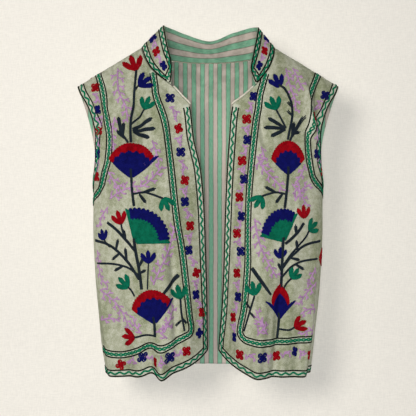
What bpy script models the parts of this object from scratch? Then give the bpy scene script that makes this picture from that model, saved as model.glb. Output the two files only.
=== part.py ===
"""Embroidered waistcoat, sleeveless and open at the front, filled out as it hangs from the shoulders.

The tables are in millimetres and the scene in metres. +X is the viewer's right, +Y runs from
the fronts to the back and +Z is up. The origin is midway between the two neck points of the shoulders.
"""

import bpy
import numpy as np

MM = 0.001

# Walls. Each front is its cloth and lining sewn as one; the back and the collar have a lining of their own.
FRONT_WALL = 2.2
OUTER_CLOTH = 1.3
LINING_CLOTH = 1.0
SEAM_GAP = 0.3
PIPING_RADIUS = 1.5

# The shoulder seam, the same on both sides: a straight line from the neck point down to the tip.
NECK_REACH = 120.0
TIP_REACH = 235.0
TIP_DROP = 70.0
UNDERARM_Z = -255.0

# The back neckline, below and behind the line between the two neck points.
BACK_NECK_DROP = 22.0
BACK_NECK_DEPTH = 37.0

# Grid of each front, of the back and of the collar.
COLUMNS_FRONT = 16
COLUMNS_BACK = 20
ROWS_PER_SECTION = 2
COLLAR_ROWS = 4

# The inner outline of each front, from the neck point, down the neck seam and the plain slant of the
# neckline, to the hem. reach is the distance from the centre line, y the depth.
INNER_COLUMNS = ("z", "left_reach", "right_reach", "y")
INNER_OUTLINE = (
    (0.0, 120.0, 120.0, 0.0),
    (-3.0, 119.5, 119.7, -8.0),
    (-14.0, 116.0, 118.5, -18.0),
    (-40.0, 103.0, 109.0, -31.0),
    (-58.0, 85.0, 97.0, -38.0),
    (-73.0, 65.0, 84.0, -42.0),
    (-92.0, 47.5, 64.0, -45.5),
    (-111.0, 31.0, 41.5, -47.0),
    (-165.0, 24.0, 36.0, -47.0),
    (-225.0, 11.0, 32.0, -44.0),
    (-300.0, 5.0, 29.0, -40.0),
    (-366.0, 3.0, 27.5, -36.0),
    (-440.0, 1.0, 25.0, -30.0),
    (-500.0, 0.5, 21.0, -25.0),
    (-540.0, 0.0, 18.0, -21.0),
)

# The outer outline, shared by both sides: the armhole edges above the underarm, the side seam below it.
OUTER_COLUMNS = ("z", "front_reach", "front_y", "back_reach", "back_y")
OUTER_OUTLINE = (
    (-70.0, 235.0, 0.0, 235.0, 0.0),
    (-73.0, 233.5, -8.0, 234.5, 8.0),
    (-84.0, 228.5, -17.0, 231.5, 17.0),
    (-108.0, 214.0, -27.0, 224.5, 26.0),
    (-135.0, 203.5, -33.0, 217.5, 33.0),
    (-165.0, 198.0, -36.0, 211.5, 37.0),
    (-208.0, 199.0, -32.0, 206.5, 35.0),
    (-236.0, 203.5, -19.0, 205.5, 22.0),
    (-250.0, 205.6, -7.0, 206.0, 8.0),
    (-255.0, 206.0, 0.0, 206.0, 0.0),
    (-320.0, 206.0, 0.0, 206.0, 0.0),
    (-390.0, 203.0, 0.0, 203.0, 0.0),
    (-472.0, 196.0, 0.0, 196.0, 0.0),
    (-545.0, 188.0, 0.0, 188.0, 0.0),
    (-582.0, 183.0, 0.0, 183.0, 0.0),
)

# Sections of a front, from the hem to the shoulder. Each runs from its inner end to its outer end over a
# crown, the part furthest forward. curl is how far the inner end turns in, turn how far the outer end does,
# in degrees, and ease how quickly the height settles from inner_z to outer_z.
FRONT_COLUMNS = ("inner_z", "outer_z", "crown_reach", "crown_y", "curl", "turn", "ease")
FRONT_SECTIONS = (
    (-540.0, -582.0, 84.0, -64.0, 52.0, 90.0, 4.0),
    (-500.0, -545.0, 85.0, -66.0, 46.0, 90.0, 3.4),
    (-440.0, -472.0, 86.0, -67.0, 36.0, 90.0, 2.6),
    (-366.0, -390.0, 87.0, -67.0, 28.0, 90.0, 2.0),
    (-300.0, -320.0, 88.0, -66.0, 20.0, 90.0, 1.5),
    (-225.0, -255.0, 92.0, -64.0, 14.0, 90.0, 1.0),
    (-165.0, -208.0, 96.0, -61.0, 10.0, 60.0, 1.0),
    (-111.0, -165.0, 100.0, -56.0, 8.0, 44.0, 1.0),
    (-73.0, -135.0, 112.0, -49.0, 6.0, 34.0, 1.0),
    (-40.0, -108.0, 130.0, -38.0, 4.0, 24.0, 1.0),
    (-14.0, -84.0, 150.0, -21.0, 2.0, 12.0, 1.0),
    (-3.0, -73.0, 165.0, -9.0, 1.0, 5.0, 1.0),
    (0.0, -70.0, 175.0, 0.0, 0.0, 0.0, 1.0),
)

# Sections of the back, at the same outer heights. centre_y is the depth at the centre of the back.
BACK_COLUMNS = ("centre_z", "outer_z", "centre_y", "turn")
BACK_SECTIONS = (
    (-576.0, -582.0, 42.0, 90.0),
    (-535.0, -545.0, 43.0, 90.0),
    (-466.0, -472.0, 44.0, 90.0),
    (-388.0, -390.0, 45.0, 90.0),
    (-320.0, -320.0, 46.0, 90.0),
    (-252.0, -255.0, 47.0, 90.0),
    (-200.0, -208.0, 48.0, 55.0),
    (-150.0, -165.0, 48.0, 36.0),
    (-116.0, -135.0, 47.0, 26.0),
    (-84.0, -108.0, 45.0, 18.0),
    (-52.0, -84.0, 42.0, 10.0),
    (-30.0, -73.0, 39.0, 4.0),
    (-22.0, -70.0, 37.0, 0.0),
)

# Folds. u runs from the inner edge (0) to the outer edge (1) of a front, or from the left side (0) to the
# right (1) of the back, and z is the height. lift stands the cloth out of the form, or sinks it where it is
# negative, lean moves its crest sideways and rise moves it up, where it is given.
FOLD_COLUMNS = ("low_u", "low_z", "high_u", "high_z", "width", "lift", "lean", "rise")
FOLDS = {
    "front_left": (
        (0.39, -600.0, 0.39, -505.0, 0.060, 8.0, 3.0, -6.0),
        (0.49, -600.0, 0.49, -480.0, 0.070, -3.0, 0.0, 5.0),
        (0.27, -560.0, 0.27, -250.0, 0.050, -6.0, 0.0),
        (0.62, -225.0, 0.38, -40.0, 0.070, -7.0, 0.0),
        (0.42, -260.0, 0.20, -55.0, 0.090, 4.0, 0.0),
        (0.80, -600.0, 0.84, -330.0, 0.070, 4.0, 0.0),
        (0.66, -600.0, 0.68, -380.0, 0.060, -4.0, 0.0),
        (0.97, -160.0, 0.78, -88.0, 0.050, -5.0, 0.0),
    ),
    "front_right": (
        (0.38, -600.0, 0.38, -480.0, 0.170, 0.0, 0.0, -6.0),
        (0.93, -175.0, 0.38, -30.0, 0.055, 9.0, 4.0),
        (0.98, -150.0, 0.60, -40.0, 0.050, -6.0, 0.0),
        (0.42, -210.0, 0.20, -50.0, 0.060, -5.0, 0.0),
        (0.38, -600.0, 0.36, -350.0, 0.060, 5.0, 0.0),
        (0.52, -600.0, 0.50, -300.0, 0.060, -5.0, 0.0),
        (0.76, -600.0, 0.80, -380.0, 0.070, 5.0, 0.0),
        (0.88, -600.0, 0.90, -450.0, 0.050, -4.0, 0.0),
    ),
    "back": (
        (0.16, -600.0, 0.20, -250.0, 0.035, 6.0, 0.0),
        (0.27, -600.0, 0.26, -200.0, 0.040, -4.0, 0.0),
        (0.72, -600.0, 0.70, -220.0, 0.040, -5.0, 0.0),
        (0.84, -600.0, 0.80, -260.0, 0.035, 6.0, 0.0),
    ),
}

# Stations of the collar, from its left front end, round the back of the neck, to its right front end. run is
# the share of the neck seam that lies before the station, and the rest is where the free edge stands.
COLLAR_COLUMNS = ("run", "top_x", "top_y", "top_z")
COLLAR_STATIONS = (
    (0.00, -63.0, -49.0, -47.0),
    (0.06, -65.0, -46.0, -28.0),
    (0.12, -70.0, -37.0, -7.0),
    (0.18, -75.0, -21.0, 19.0),
    (0.23, -79.0, 0.0, 41.0),
    (0.30, -70.0, 28.0, 42.0),
    (0.38, -44.0, 50.0, 35.0),
    (0.50, 4.0, 61.0, 23.5),
    (0.62, 50.0, 51.0, 38.0),
    (0.71, 77.0, 28.0, 42.0),
    (0.78, 90.0, 0.0, 37.0),
    (0.83, 86.0, -20.0, 14.0),
    (0.89, 81.0, -35.0, -10.0),
    (0.945, 77.0, -44.0, -30.0),
    (1.00, 74.0, -49.0, -48.0),
)
COLLAR_COLUMN_COUNT = 42
COLLAR_CLEARANCE = 0.9

MATERIALS = {
    "sage_cloth": ((0.42, 0.41, 0.28), 0.90),
    "striped_cotton": ((0.40, 0.50, 0.38), 0.88),
    "ecru_piping": ((0.62, 0.57, 0.44), 0.85),
}


def columns(names, rows):
    """The rows of a table as one array for each named column."""
    return dict(zip(names, np.array(rows, float).T))


def smooth(at, knots, values):
    """A monotone cubic curve through the knots, which are in rising or falling order."""
    if knots[0] > knots[-1]:
        knots, values = knots[::-1], values[::-1]
    step = np.diff(knots)
    slope = np.diff(values) / step
    before, after = slope[:-1], slope[1:]
    weight_1 = 2 * step[1:] + step[:-1]
    weight_2 = step[1:] + 2 * step[:-1]
    same_way = before * after > 0
    safe_before = np.where(same_way, before, 1.0)
    safe_after = np.where(same_way, after, 1.0)
    mean = (weight_1 + weight_2) / (weight_1 / safe_before + weight_2 / safe_after)
    tangent = np.concatenate([slope[:1], np.where(same_way, mean, 0.0), slope[-1:]])
    at = np.clip(at, knots[0], knots[-1])
    k = np.clip(np.searchsorted(knots, at, side="right") - 1, 0, len(step) - 1)
    t = (at - knots[k]) / step[k]
    rise = (1 + 2 * t) * (1 - t) ** 2 * values[k] + t**2 * (3 - 2 * t) * values[k + 1]
    lean = t * (1 - t) ** 2 * tangent[k] - t**2 * (1 - t) * tangent[k + 1]
    return rise + lean * step[k]


def bezier(points, t):
    """A cubic curve in the plan from its four control points, at each value of t."""
    a, b, c, d = (np.asarray(p, float) for p in points)
    t = t[:, None]
    return a * (1 - t) ** 3 + 3 * b * t * (1 - t) ** 2 + 3 * c * t**2 * (1 - t) + d * t**3


def spaced(path, count):
    """count + 1 points at even distances along a path."""
    run = np.concatenate([[0.0], np.cumsum(np.linalg.norm(np.diff(path, axis=0), axis=1))])
    at = np.linspace(0.0, run[-1], count + 1)
    return np.column_stack([np.interp(at, run, path[:, k]) for k in range(path.shape[1])])


def stations(sections):
    """The rows of a loft, as section numbers with ROWS_PER_SECTION steps between two sections."""
    last = len(sections) - 1
    return np.linspace(0, last, last * ROWS_PER_SECTION + 1)


def at_station(table, name, station):
    """One column of a table of sections, at a station between them."""
    values = table[name]
    return float(smooth(np.array([station]), np.arange(len(values), dtype=float), values)[0])


def quarter(start, end, turn):
    """Control points from a crown at start, where the cloth runs sideways, to end, where it has turned."""
    start, end = np.array(start), np.array(end)
    across, back = abs(end[0] - start[0]), abs(end[1] - start[1])
    angle = np.radians(turn)
    facing = np.where(end >= start, 1.0, -1.0)
    along_end = facing * [np.cos(angle), np.sin(angle)]
    pull = min(0.62 * (across * np.cos(angle) + back * np.sin(angle)), 0.9 * back / max(np.sin(angle), 0.01))
    middle = start + [0.62 * (end[0] - start[0]), 0.0]
    return start, middle, end - along_end * pull, end


def front_form(side):
    """The outside of one front as a grid [row, column] of points, from the inner edge to the outer one."""
    inner = columns(INNER_COLUMNS, INNER_OUTLINE)
    outer = columns(OUTER_COLUMNS, OUTER_OUTLINE)
    table = columns(FRONT_COLUMNS, FRONT_SECTIONS)
    fine = np.linspace(0.0, 1.0, 40)
    u = np.linspace(0.0, 1.0, COLUMNS_FRONT + 1)
    grid = []
    for station in stations(FRONT_SECTIONS):
        inner_z = at_station(table, "inner_z", station)
        outer_z = at_station(table, "outer_z", station)
        edge = [float(smooth(inner_z, inner["z"], inner[name])) for name in (f"{side}_reach", "y")]
        end = [float(smooth(outer_z, outer["z"], outer[name])) for name in ("front_reach", "front_y")]
        crown = [max(at_station(table, "crown_reach", station), edge[0] + 8.0), at_station(table, "crown_y", station)]
        curl = np.radians(at_station(table, "curl", station))
        pull = 0.38 * np.hypot(crown[0] - edge[0], crown[1] - edge[1])
        leaving = [edge[0] + pull * np.cos(curl), edge[1] - pull * np.sin(curl)]
        rising = bezier([edge, leaving, [crown[0] - pull, crown[1]], crown], fine)
        falling = bezier(quarter(crown, end, at_station(table, "turn", station)), fine)
        plan = spaced(np.vstack([rising, falling[1:]]), COLUMNS_FRONT)
        height = outer_z + (inner_z - outer_z) * (1 - u) ** at_station(table, "ease", station)
        grid.append(np.column_stack([plan, height]))
    grid = np.array(grid)
    grid[..., 0] *= -1 if side == "left" else 1
    grid[:, -1, 1] -= SEAM_GAP / 2 * (grid[:, -1, 2] <= UNDERARM_Z + 0.5)
    grid[-1, :, 1] -= SEAM_GAP / 2
    return grid


def back_top(u):
    """The top edge of the back: shoulder, neckline, shoulder. The neck points are at u = 1/4 and 3/4."""
    x = np.where(
        np.abs(u - 0.5) > 0.25,
        np.sign(u - 0.5) * (NECK_REACH + (np.abs(u - 0.5) - 0.25) / 0.25 * (TIP_REACH - NECK_REACH)),
        (u - 0.5) / 0.25 * NECK_REACH,
    )
    share = np.clip(1 - (x / NECK_REACH) ** 2, 0.0, 1.0)
    on_shoulder = np.abs(x) >= NECK_REACH
    slope = -(np.abs(x) - NECK_REACH) / (TIP_REACH - NECK_REACH) * TIP_DROP
    z = np.where(on_shoulder, slope, -BACK_NECK_DROP * np.sqrt(share))
    return np.column_stack([x, BACK_NECK_DEPTH * np.sqrt(share), z])


def back_form():
    """The outside of the back as a grid [row, column] of points, from the left side to the right one."""
    outer = columns(OUTER_COLUMNS, OUTER_OUTLINE)
    table = columns(BACK_COLUMNS, BACK_SECTIONS)
    fine = np.linspace(0.0, 1.0, 60)
    u = np.linspace(0.0, 1.0, COLUMNS_BACK + 1)
    grid = []
    for station in stations(BACK_SECTIONS):
        centre_z = at_station(table, "centre_z", station)
        outer_z = at_station(table, "outer_z", station)
        end = [float(smooth(outer_z, outer["z"], outer[name])) for name in ("back_reach", "back_y")]
        centre = [0.0, at_station(table, "centre_y", station)]
        half = bezier(quarter(centre, end, at_station(table, "turn", station)), fine)
        plan = spaced(np.vstack([half[::-1] * [-1, 1], half[1:]]), COLUMNS_BACK)
        height = outer_z + (centre_z - outer_z) * (1 - np.abs(2 * u - 1) ** 1.6)
        grid.append(np.column_stack([plan, height]))
    grid = np.array(grid)
    settle = np.linspace(0.0, 1.0, len(grid))
    settle = np.clip((settle - 0.62) / 0.38, 0.0, 1.0) ** 2
    grid += settle[:, None, None] * (back_top(u) - grid[-1])
    under = grid[:, 0, 2] <= UNDERARM_Z + 0.5
    grid[under, 0, 1] += SEAM_GAP / 2
    grid[under, -1, 1] += SEAM_GAP / 2
    grid[-1, :, 1] += SEAM_GAP / 2
    return grid


def outward(grid, sign):
    """Unit normals of a grid, by differences along its rows and columns, on the side that sign chooses."""
    across = np.gradient(grid, axis=1)
    up = np.gradient(grid, axis=0)
    normal = np.cross(across, up) * sign
    return normal / np.linalg.norm(normal, axis=2, keepdims=True)


def level_at_seams(normal, rows_on_seam, columns_on_seam):
    """Turns the normals on a seam so that its two rims face each other squarely along Y."""
    for chosen in (rows_on_seam, columns_on_seam):
        part = normal[chosen]
        part[..., 1] = 0.0
        normal[chosen] = part / np.linalg.norm(part, axis=-1, keepdims=True)
    return normal


def folded(grid, normal, name):
    """The form with its folds: a rounded crest or trough along a line from its low end to its high end."""
    rows, cols = grid.shape[:2]
    v, u = np.meshgrid(np.linspace(0, 1, rows), np.linspace(0, 1, cols), indexing="ij")
    side = np.gradient(grid, axis=1)
    side /= np.linalg.norm(side, axis=2, keepdims=True)
    clear = np.clip(np.minimum(u, 1 - u) / 0.06, 0, 1) * np.clip((1 - v) / 0.05, 0, 1)
    moved = grid.copy()
    for row in FOLDS[name]:
        fold = dict(zip(FOLD_COLUMNS, row))
        share = (grid[..., 2] - fold["low_z"]) / (fold["high_z"] - fold["low_z"])
        centre = fold["low_u"] + (fold["high_u"] - fold["low_u"]) * np.clip(share, 0, 1)
        crest = np.exp(-(((u - centre) / fold["width"]) ** 2))
        below = 1.0 if fold["low_z"] < -595.0 else np.clip(share / 0.2, 0, 1)
        above = np.clip((1 - share) / 0.5, 0, 1) ** 1.5
        size = (crest * below * above * clear)[..., None]
        moved += size * (normal * fold["lift"] + side * fold["lean"] + [0.0, 0.0, fold.get("rise", 0.0)])
    return moved


def offset(grid, normal, distance):
    """The same grid, moved out along its normals."""
    return grid + normal * distance


def material(name):
    """A Principled material of this colour and roughness, made once."""
    made = bpy.data.materials.get(name)
    if made is None:
        colour, roughness = MATERIALS[name]
        made = bpy.data.materials.new(name)
        made.use_nodes = True
        shader = made.node_tree.nodes["Principled BSDF"]
        shader.inputs["Base Color"].default_value = (*colour, 1.0)
        shader.inputs["Roughness"].default_value = roughness
        shader.inputs["Metallic"].default_value = 0.0
    return made


def add_object(name, data, finish):
    """Links an object for these data, with its material."""
    made = bpy.data.objects.new(name, data)
    data.materials.append(material(finish))
    bpy.context.scene.collection.objects.link(made)
    return made


def wall(name, outside, inside, sign, finish):
    """A closed wall between two grids of the same size: two faces and the rim that joins them."""
    rows, cols = outside.shape[:2]
    count = rows * cols
    number = np.arange(count).reshape(rows, cols)
    a, b, c, d = number[:-1, :-1], number[:-1, 1:], number[1:, 1:], number[1:, :-1]
    face = np.concatenate([np.stack(three, axis=-1).reshape(-1, 3) for three in ((a, b, c), (a, c, d))])
    border = np.concatenate([number[0], number[1:, -1], number[-1, -2::-1], number[-2:0:-1, 0]])
    after = np.roll(border, -1)
    rim = [np.stack([after, border, border + count], axis=-1)]
    rim += [np.stack([after, border + count, after + count], axis=-1)]
    faces = np.concatenate([face, face[:, ::-1] + count, *rim])
    if sign < 0:
        faces = faces[:, ::-1]
    points = np.concatenate([outside.reshape(-1, 3), inside.reshape(-1, 3)]) * MM
    mesh = bpy.data.meshes.new(name)
    mesh.from_pydata(points.tolist(), [], faces.tolist())
    mesh.validate()
    mesh.shade_smooth()
    mesh.set_sharp_from_angle(angle=np.radians(50))
    return add_object(name, mesh, finish)


def add_front(side):
    """One front panel. Returns its folded outside, on which the piping is placed."""
    grid = front_form(side)
    sign = -1 if side == "left" else 1
    seams = (slice(-1, None), slice(None)), (grid[:, -1, 2] <= UNDERARM_Z + 0.5, slice(-1, None))
    normal = level_at_seams(outward(grid, sign), *seams)
    grid = folded(grid, normal, f"front_{side}")
    wall(f"front_{side}", grid, offset(grid, normal, -FRONT_WALL), sign, "sage_cloth")
    return grid


def add_back():
    """The back and, inside it, its striped lining. Returns the folded outside of the back."""
    grid = back_form()
    under = grid[:, 0, 2] <= UNDERARM_Z + 0.5
    on_shoulder = np.abs(grid[-1, :, 0]) >= NECK_REACH - 0.1
    normal = outward(grid, -1)
    for chosen in ((under, slice(0, 1)), (under, slice(-1, None)), (slice(-1, None), on_shoulder)):
        normal = level_at_seams(normal, chosen, chosen)
    grid = folded(grid, normal, "back")
    wall("back", grid, offset(grid, normal, -OUTER_CLOTH), -1, "sage_cloth")
    lining_top = -(OUTER_CLOTH + SEAM_GAP)
    lining = offset(grid, normal, lining_top), offset(grid, normal, lining_top - LINING_CLOTH)
    wall("back_lining", *lining, -1, "striped_cotton")
    return grid


def neck_seam(fronts, back):
    """The neckline that the collar is sewn to, from its left front end round the back to its right one."""
    table = columns(FRONT_COLUMNS, FRONT_SECTIONS)
    first = int(np.flatnonzero(table["inner_z"] == -73.0)[0]) * ROWS_PER_SECTION
    nape = back[-1][np.abs(back[-1][:, 0]) < NECK_REACH - 0.1]
    return np.vstack([fronts["left"][first:, 0], nape, fronts["right"][:first - 1:-1, 0]])


def add_collar(fronts, back):
    """The standing collar, ruled from the neck seam to its free edge, and its striped lining inside it."""
    table = columns(COLLAR_COLUMNS, COLLAR_STATIONS)
    run = np.linspace(0, 1, COLLAR_COLUMN_COUNT + 1)
    seam = spaced(neck_seam(fronts, back), COLLAR_COLUMN_COUNT)
    top = np.column_stack([smooth(run, table["run"], table[name]) for name in COLLAR_COLUMNS[1:]])
    rise = top - seam
    seam = seam + rise / np.linalg.norm(rise, axis=1, keepdims=True) * COLLAR_CLEARANCE
    share = np.linspace(0.0, 1.0, COLLAR_ROWS + 1)[:, None, None]
    grid = seam + (top - seam) * share
    normal = outward(grid, -1)
    wall("collar", grid, offset(grid, normal, -OUTER_CLOTH), -1, "sage_cloth")
    lining_top = -(OUTER_CLOTH + SEAM_GAP)
    lining = offset(grid, normal, lining_top), offset(grid, normal, lining_top - LINING_CLOTH)
    wall("collar_lining", *lining, -1, "striped_cotton")


def add_piping(side, grid):
    """The ecru piping on the plain slant of the neckline, a round cord just clear of the cloth's edge."""
    table = columns(FRONT_COLUMNS, FRONT_SECTIONS)
    first = int(np.flatnonzero(table["inner_z"] == -111.0)[0]) * ROWS_PER_SECTION
    last = int(np.flatnonzero(table["inner_z"] == -73.0)[0]) * ROWS_PER_SECTION
    edge = grid[first : last + 1, 0]
    away = edge - grid[first : last + 1, 1]
    away /= np.linalg.norm(away, axis=1, keepdims=True)
    line = edge + away * (PIPING_RADIUS + SEAM_GAP + 0.4)
    line = spaced(line, 6)[:-1]
    curve = bpy.data.curves.new(f"neck_piping_{side}", "CURVE")
    curve.dimensions = "3D"
    curve.bevel_depth = PIPING_RADIUS * MM
    curve.bevel_resolution = 2
    curve.use_fill_caps = True
    spline = curve.splines.new("POLY")
    spline.points.add(len(line) - 1)
    spline.points.foreach_set("co", np.column_stack([line * MM, np.ones(len(line))]).ravel())
    return add_object(f"neck_piping_{side}", curve, "ecru_piping")


def main():
    for old in list(bpy.data.objects):
        bpy.data.objects.remove(old)
    fronts = {side: add_front(side) for side in ("left", "right")}
    add_collar(fronts, add_back())
    for side, grid in fronts.items():
        add_piping(side, grid)


main()
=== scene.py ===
"""Looks of the embroidered waistcoat: cloth, striped lining, ecru piping and raised silk embroidery.

The tables are in millimetres and the meshes in metres. +X is the viewer's right, +Y runs from the fronts to
the back and +Z is up. The origin is midway between the neck points of the shoulders.

A place on a panel is given flat, as (across, up): across is the length along the cloth, counted like X, and
up is the height, so a motif keeps its size round the curve of the body. Places in the tables of motifs are
seen face-on, as (reach, height), where reach is the distance from the centre line.
"""

from __future__ import annotations

import logging
from dataclasses import dataclass, field
from enum import Enum

import bpy
import numpy as np
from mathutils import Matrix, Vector

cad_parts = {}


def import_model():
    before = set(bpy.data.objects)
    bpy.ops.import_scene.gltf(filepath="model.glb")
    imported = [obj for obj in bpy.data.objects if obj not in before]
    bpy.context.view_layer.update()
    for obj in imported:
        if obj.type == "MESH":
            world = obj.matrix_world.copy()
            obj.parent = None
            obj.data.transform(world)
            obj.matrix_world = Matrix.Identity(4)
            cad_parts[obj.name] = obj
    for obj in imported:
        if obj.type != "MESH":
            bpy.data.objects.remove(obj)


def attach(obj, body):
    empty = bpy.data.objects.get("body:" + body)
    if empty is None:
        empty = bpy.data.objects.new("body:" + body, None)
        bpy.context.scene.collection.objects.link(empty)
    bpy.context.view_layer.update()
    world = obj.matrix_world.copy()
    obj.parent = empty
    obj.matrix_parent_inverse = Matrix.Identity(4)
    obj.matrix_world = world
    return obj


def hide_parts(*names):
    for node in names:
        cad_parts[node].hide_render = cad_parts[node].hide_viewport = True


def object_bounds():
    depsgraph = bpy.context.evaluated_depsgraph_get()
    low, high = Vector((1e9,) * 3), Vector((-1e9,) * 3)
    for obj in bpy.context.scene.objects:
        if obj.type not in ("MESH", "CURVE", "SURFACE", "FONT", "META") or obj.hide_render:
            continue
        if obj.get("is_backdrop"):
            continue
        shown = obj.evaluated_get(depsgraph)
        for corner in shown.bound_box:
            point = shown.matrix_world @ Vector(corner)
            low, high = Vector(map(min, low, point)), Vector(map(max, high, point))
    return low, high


MM = 0.001
Array = np.ndarray
Point = tuple[float, float]
log = logging.getLogger("waistcoat")

# --- The cut ------------------------------------------------------------------------------------------

NECK_REACH = 120.0
TIP_REACH = 235.0
TIP_DROP = 70.0
UNDERARM_Z = -255.0
BACK_NECK_DROP = 22.0
BACK_NECK_DEPTH = 37.0
COLLAR_HEIGHT = 54.0
SEAM_GAP = 0.3
PIPING_RADIUS = 1.5
LINING_WALL = 1.0
NECK_CORNER_Z = -111.0
COLLAR_END_Z = -73.0
DATUM_REACH = 100.0

# How much further the cloth's folds stand and lean than their table says, and how narrow they are beside it.
FOLD_LIFT = 1.625
FOLD_LEAN = 1.3
FOLD_NARROWING = 0.75

INNER_COLUMNS = ("z", "left_reach", "right_reach", "y")
INNER_OUTLINE = (
    (0.0, 120.0, 120.0, 0.0),
    (-3.0, 119.5, 119.7, -8.0),
    (-14.0, 116.0, 118.5, -18.0),
    (-40.0, 103.0, 109.0, -31.0),
    (-58.0, 85.0, 97.0, -38.0),
    (-73.0, 65.0, 84.0, -42.0),
    (-92.0, 47.5, 64.0, -45.5),
    (-111.0, 31.0, 41.5, -47.0),
    (-165.0, 24.0, 36.0, -47.0),
    (-225.0, 11.0, 32.0, -44.0),
    (-300.0, 5.0, 29.0, -40.0),
    (-366.0, 3.0, 27.5, -36.0),
    (-440.0, 1.0, 25.0, -30.0),
    (-500.0, 0.5, 21.0, -25.0),
    (-540.0, 0.0, 18.0, -21.0),
)
OUTER_COLUMNS = ("z", "front_reach", "front_y", "back_reach", "back_y")
OUTER_OUTLINE = (
    (-70.0, 235.0, 0.0, 235.0, 0.0),
    (-73.0, 233.5, -8.0, 234.5, 8.0),
    (-84.0, 228.5, -17.0, 231.5, 17.0),
    (-108.0, 214.0, -27.0, 224.5, 26.0),
    (-135.0, 203.5, -33.0, 217.5, 33.0),
    (-165.0, 198.0, -36.0, 211.5, 37.0),
    (-208.0, 199.0, -32.0, 206.5, 35.0),
    (-236.0, 203.5, -19.0, 205.5, 22.0),
    (-250.0, 205.6, -7.0, 206.0, 8.0),
    (-255.0, 206.0, 0.0, 206.0, 0.0),
    (-320.0, 206.0, 0.0, 206.0, 0.0),
    (-390.0, 203.0, 0.0, 203.0, 0.0),
    (-472.0, 196.0, 0.0, 196.0, 0.0),
    (-545.0, 188.0, 0.0, 188.0, 0.0),
    (-582.0, 183.0, 0.0, 183.0, 0.0),
)
FRONT_COLUMNS = ("inner_z", "outer_z", "crown_reach", "crown_y", "curl", "turn", "ease")
FRONT_SECTIONS = (
    (-540.0, -582.0, 84.0, -64.0, 52.0, 90.0, 4.0),
    (-500.0, -545.0, 85.0, -66.0, 46.0, 90.0, 3.4),
    (-440.0, -472.0, 86.0, -67.0, 36.0, 90.0, 2.6),
    (-366.0, -390.0, 87.0, -67.0, 28.0, 90.0, 2.0),
    (-300.0, -320.0, 88.0, -66.0, 20.0, 90.0, 1.5),
    (-225.0, -255.0, 92.0, -64.0, 14.0, 90.0, 1.0),
    (-165.0, -208.0, 96.0, -61.0, 10.0, 60.0, 1.0),
    (-111.0, -165.0, 100.0, -56.0, 8.0, 44.0, 1.0),
    (-73.0, -135.0, 112.0, -49.0, 6.0, 34.0, 1.0),
    (-40.0, -108.0, 130.0, -38.0, 4.0, 24.0, 1.0),
    (-14.0, -84.0, 150.0, -21.0, 2.0, 12.0, 1.0),
    (-3.0, -73.0, 165.0, -9.0, 1.0, 5.0, 1.0),
    (0.0, -70.0, 175.0, 0.0, 0.0, 0.0, 1.0),
)
BACK_COLUMNS = ("centre_z", "outer_z", "centre_y", "turn")
BACK_SECTIONS = (
    (-576.0, -582.0, 42.0, 90.0),
    (-535.0, -545.0, 43.0, 90.0),
    (-466.0, -472.0, 44.0, 90.0),
    (-388.0, -390.0, 45.0, 90.0),
    (-320.0, -320.0, 46.0, 90.0),
    (-252.0, -255.0, 47.0, 90.0),
    (-200.0, -208.0, 48.0, 55.0),
    (-150.0, -165.0, 48.0, 36.0),
    (-116.0, -135.0, 47.0, 26.0),
    (-84.0, -108.0, 45.0, 18.0),
    (-52.0, -84.0, 42.0, 10.0),
    (-30.0, -73.0, 39.0, 4.0),
    (-22.0, -70.0, 37.0, 0.0),
)
COLLAR_COLUMNS = ("run", "top_x", "top_y", "top_z")
COLLAR_STATIONS = (
    (0.00, -63.0, -49.0, -47.0),
    (0.06, -65.0, -46.0, -28.0),
    (0.12, -70.0, -37.0, -7.0),
    (0.18, -75.0, -21.0, 19.0),
    (0.23, -79.0, 0.0, 41.0),
    (0.30, -70.0, 28.0, 42.0),
    (0.38, -44.0, 50.0, 35.0),
    (0.50, 4.0, 61.0, 23.5),
    (0.62, 50.0, 51.0, 38.0),
    (0.71, 77.0, 28.0, 42.0),
    (0.78, 90.0, 0.0, 37.0),
    (0.83, 86.0, -20.0, 14.0),
    (0.89, 81.0, -35.0, -10.0),
    (0.945, 77.0, -44.0, -30.0),
    (1.00, 74.0, -49.0, -48.0),
)
FOLD_COLUMNS = ("low_u", "low_z", "high_u", "high_z", "width", "lift", "lean", "rise")
FOLDS = {
    "front_left": (
        (0.39, -600.0, 0.39, -505.0, 0.060, 8.0, 3.0, -6.0),
        (0.49, -600.0, 0.49, -480.0, 0.070, -3.0, 0.0, 5.0),
        (0.27, -560.0, 0.27, -250.0, 0.050, -6.0, 0.0),
        (0.62, -225.0, 0.38, -40.0, 0.070, -7.0, 0.0),
        (0.42, -260.0, 0.20, -55.0, 0.090, 4.0, 0.0),
        (0.80, -600.0, 0.84, -330.0, 0.070, 4.0, 0.0),
        (0.66, -600.0, 0.68, -380.0, 0.060, -4.0, 0.0),
        (0.97, -160.0, 0.78, -88.0, 0.050, -5.0, 0.0),
    ),
    "front_right": (
        (0.38, -600.0, 0.38, -480.0, 0.170, 0.0, 0.0, -6.0),
        (0.93, -175.0, 0.38, -30.0, 0.055, 9.0, 4.0),
        (0.98, -150.0, 0.60, -40.0, 0.050, -6.0, 0.0),
        (0.42, -210.0, 0.20, -50.0, 0.060, -5.0, 0.0),
        (0.38, -600.0, 0.36, -350.0, 0.060, 5.0, 0.0),
        (0.52, -600.0, 0.50, -300.0, 0.060, -5.0, 0.0),
        (0.76, -600.0, 0.80, -380.0, 0.070, 5.0, 0.0),
        (0.88, -600.0, 0.90, -450.0, 0.050, -4.0, 0.0),
    ),
    "back": (
        (0.16, -600.0, 0.20, -250.0, 0.035, 6.0, 0.0),
        (0.27, -600.0, 0.26, -200.0, 0.040, -4.0, 0.0),
        (0.72, -600.0, 0.70, -220.0, 0.040, -5.0, 0.0),
        (0.84, -600.0, 0.80, -260.0, 0.035, 6.0, 0.0),
    ),
}


class Side(Enum):
    """Which front, as the sign of its X."""

    LEFT = -1
    RIGHT = 1


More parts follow.
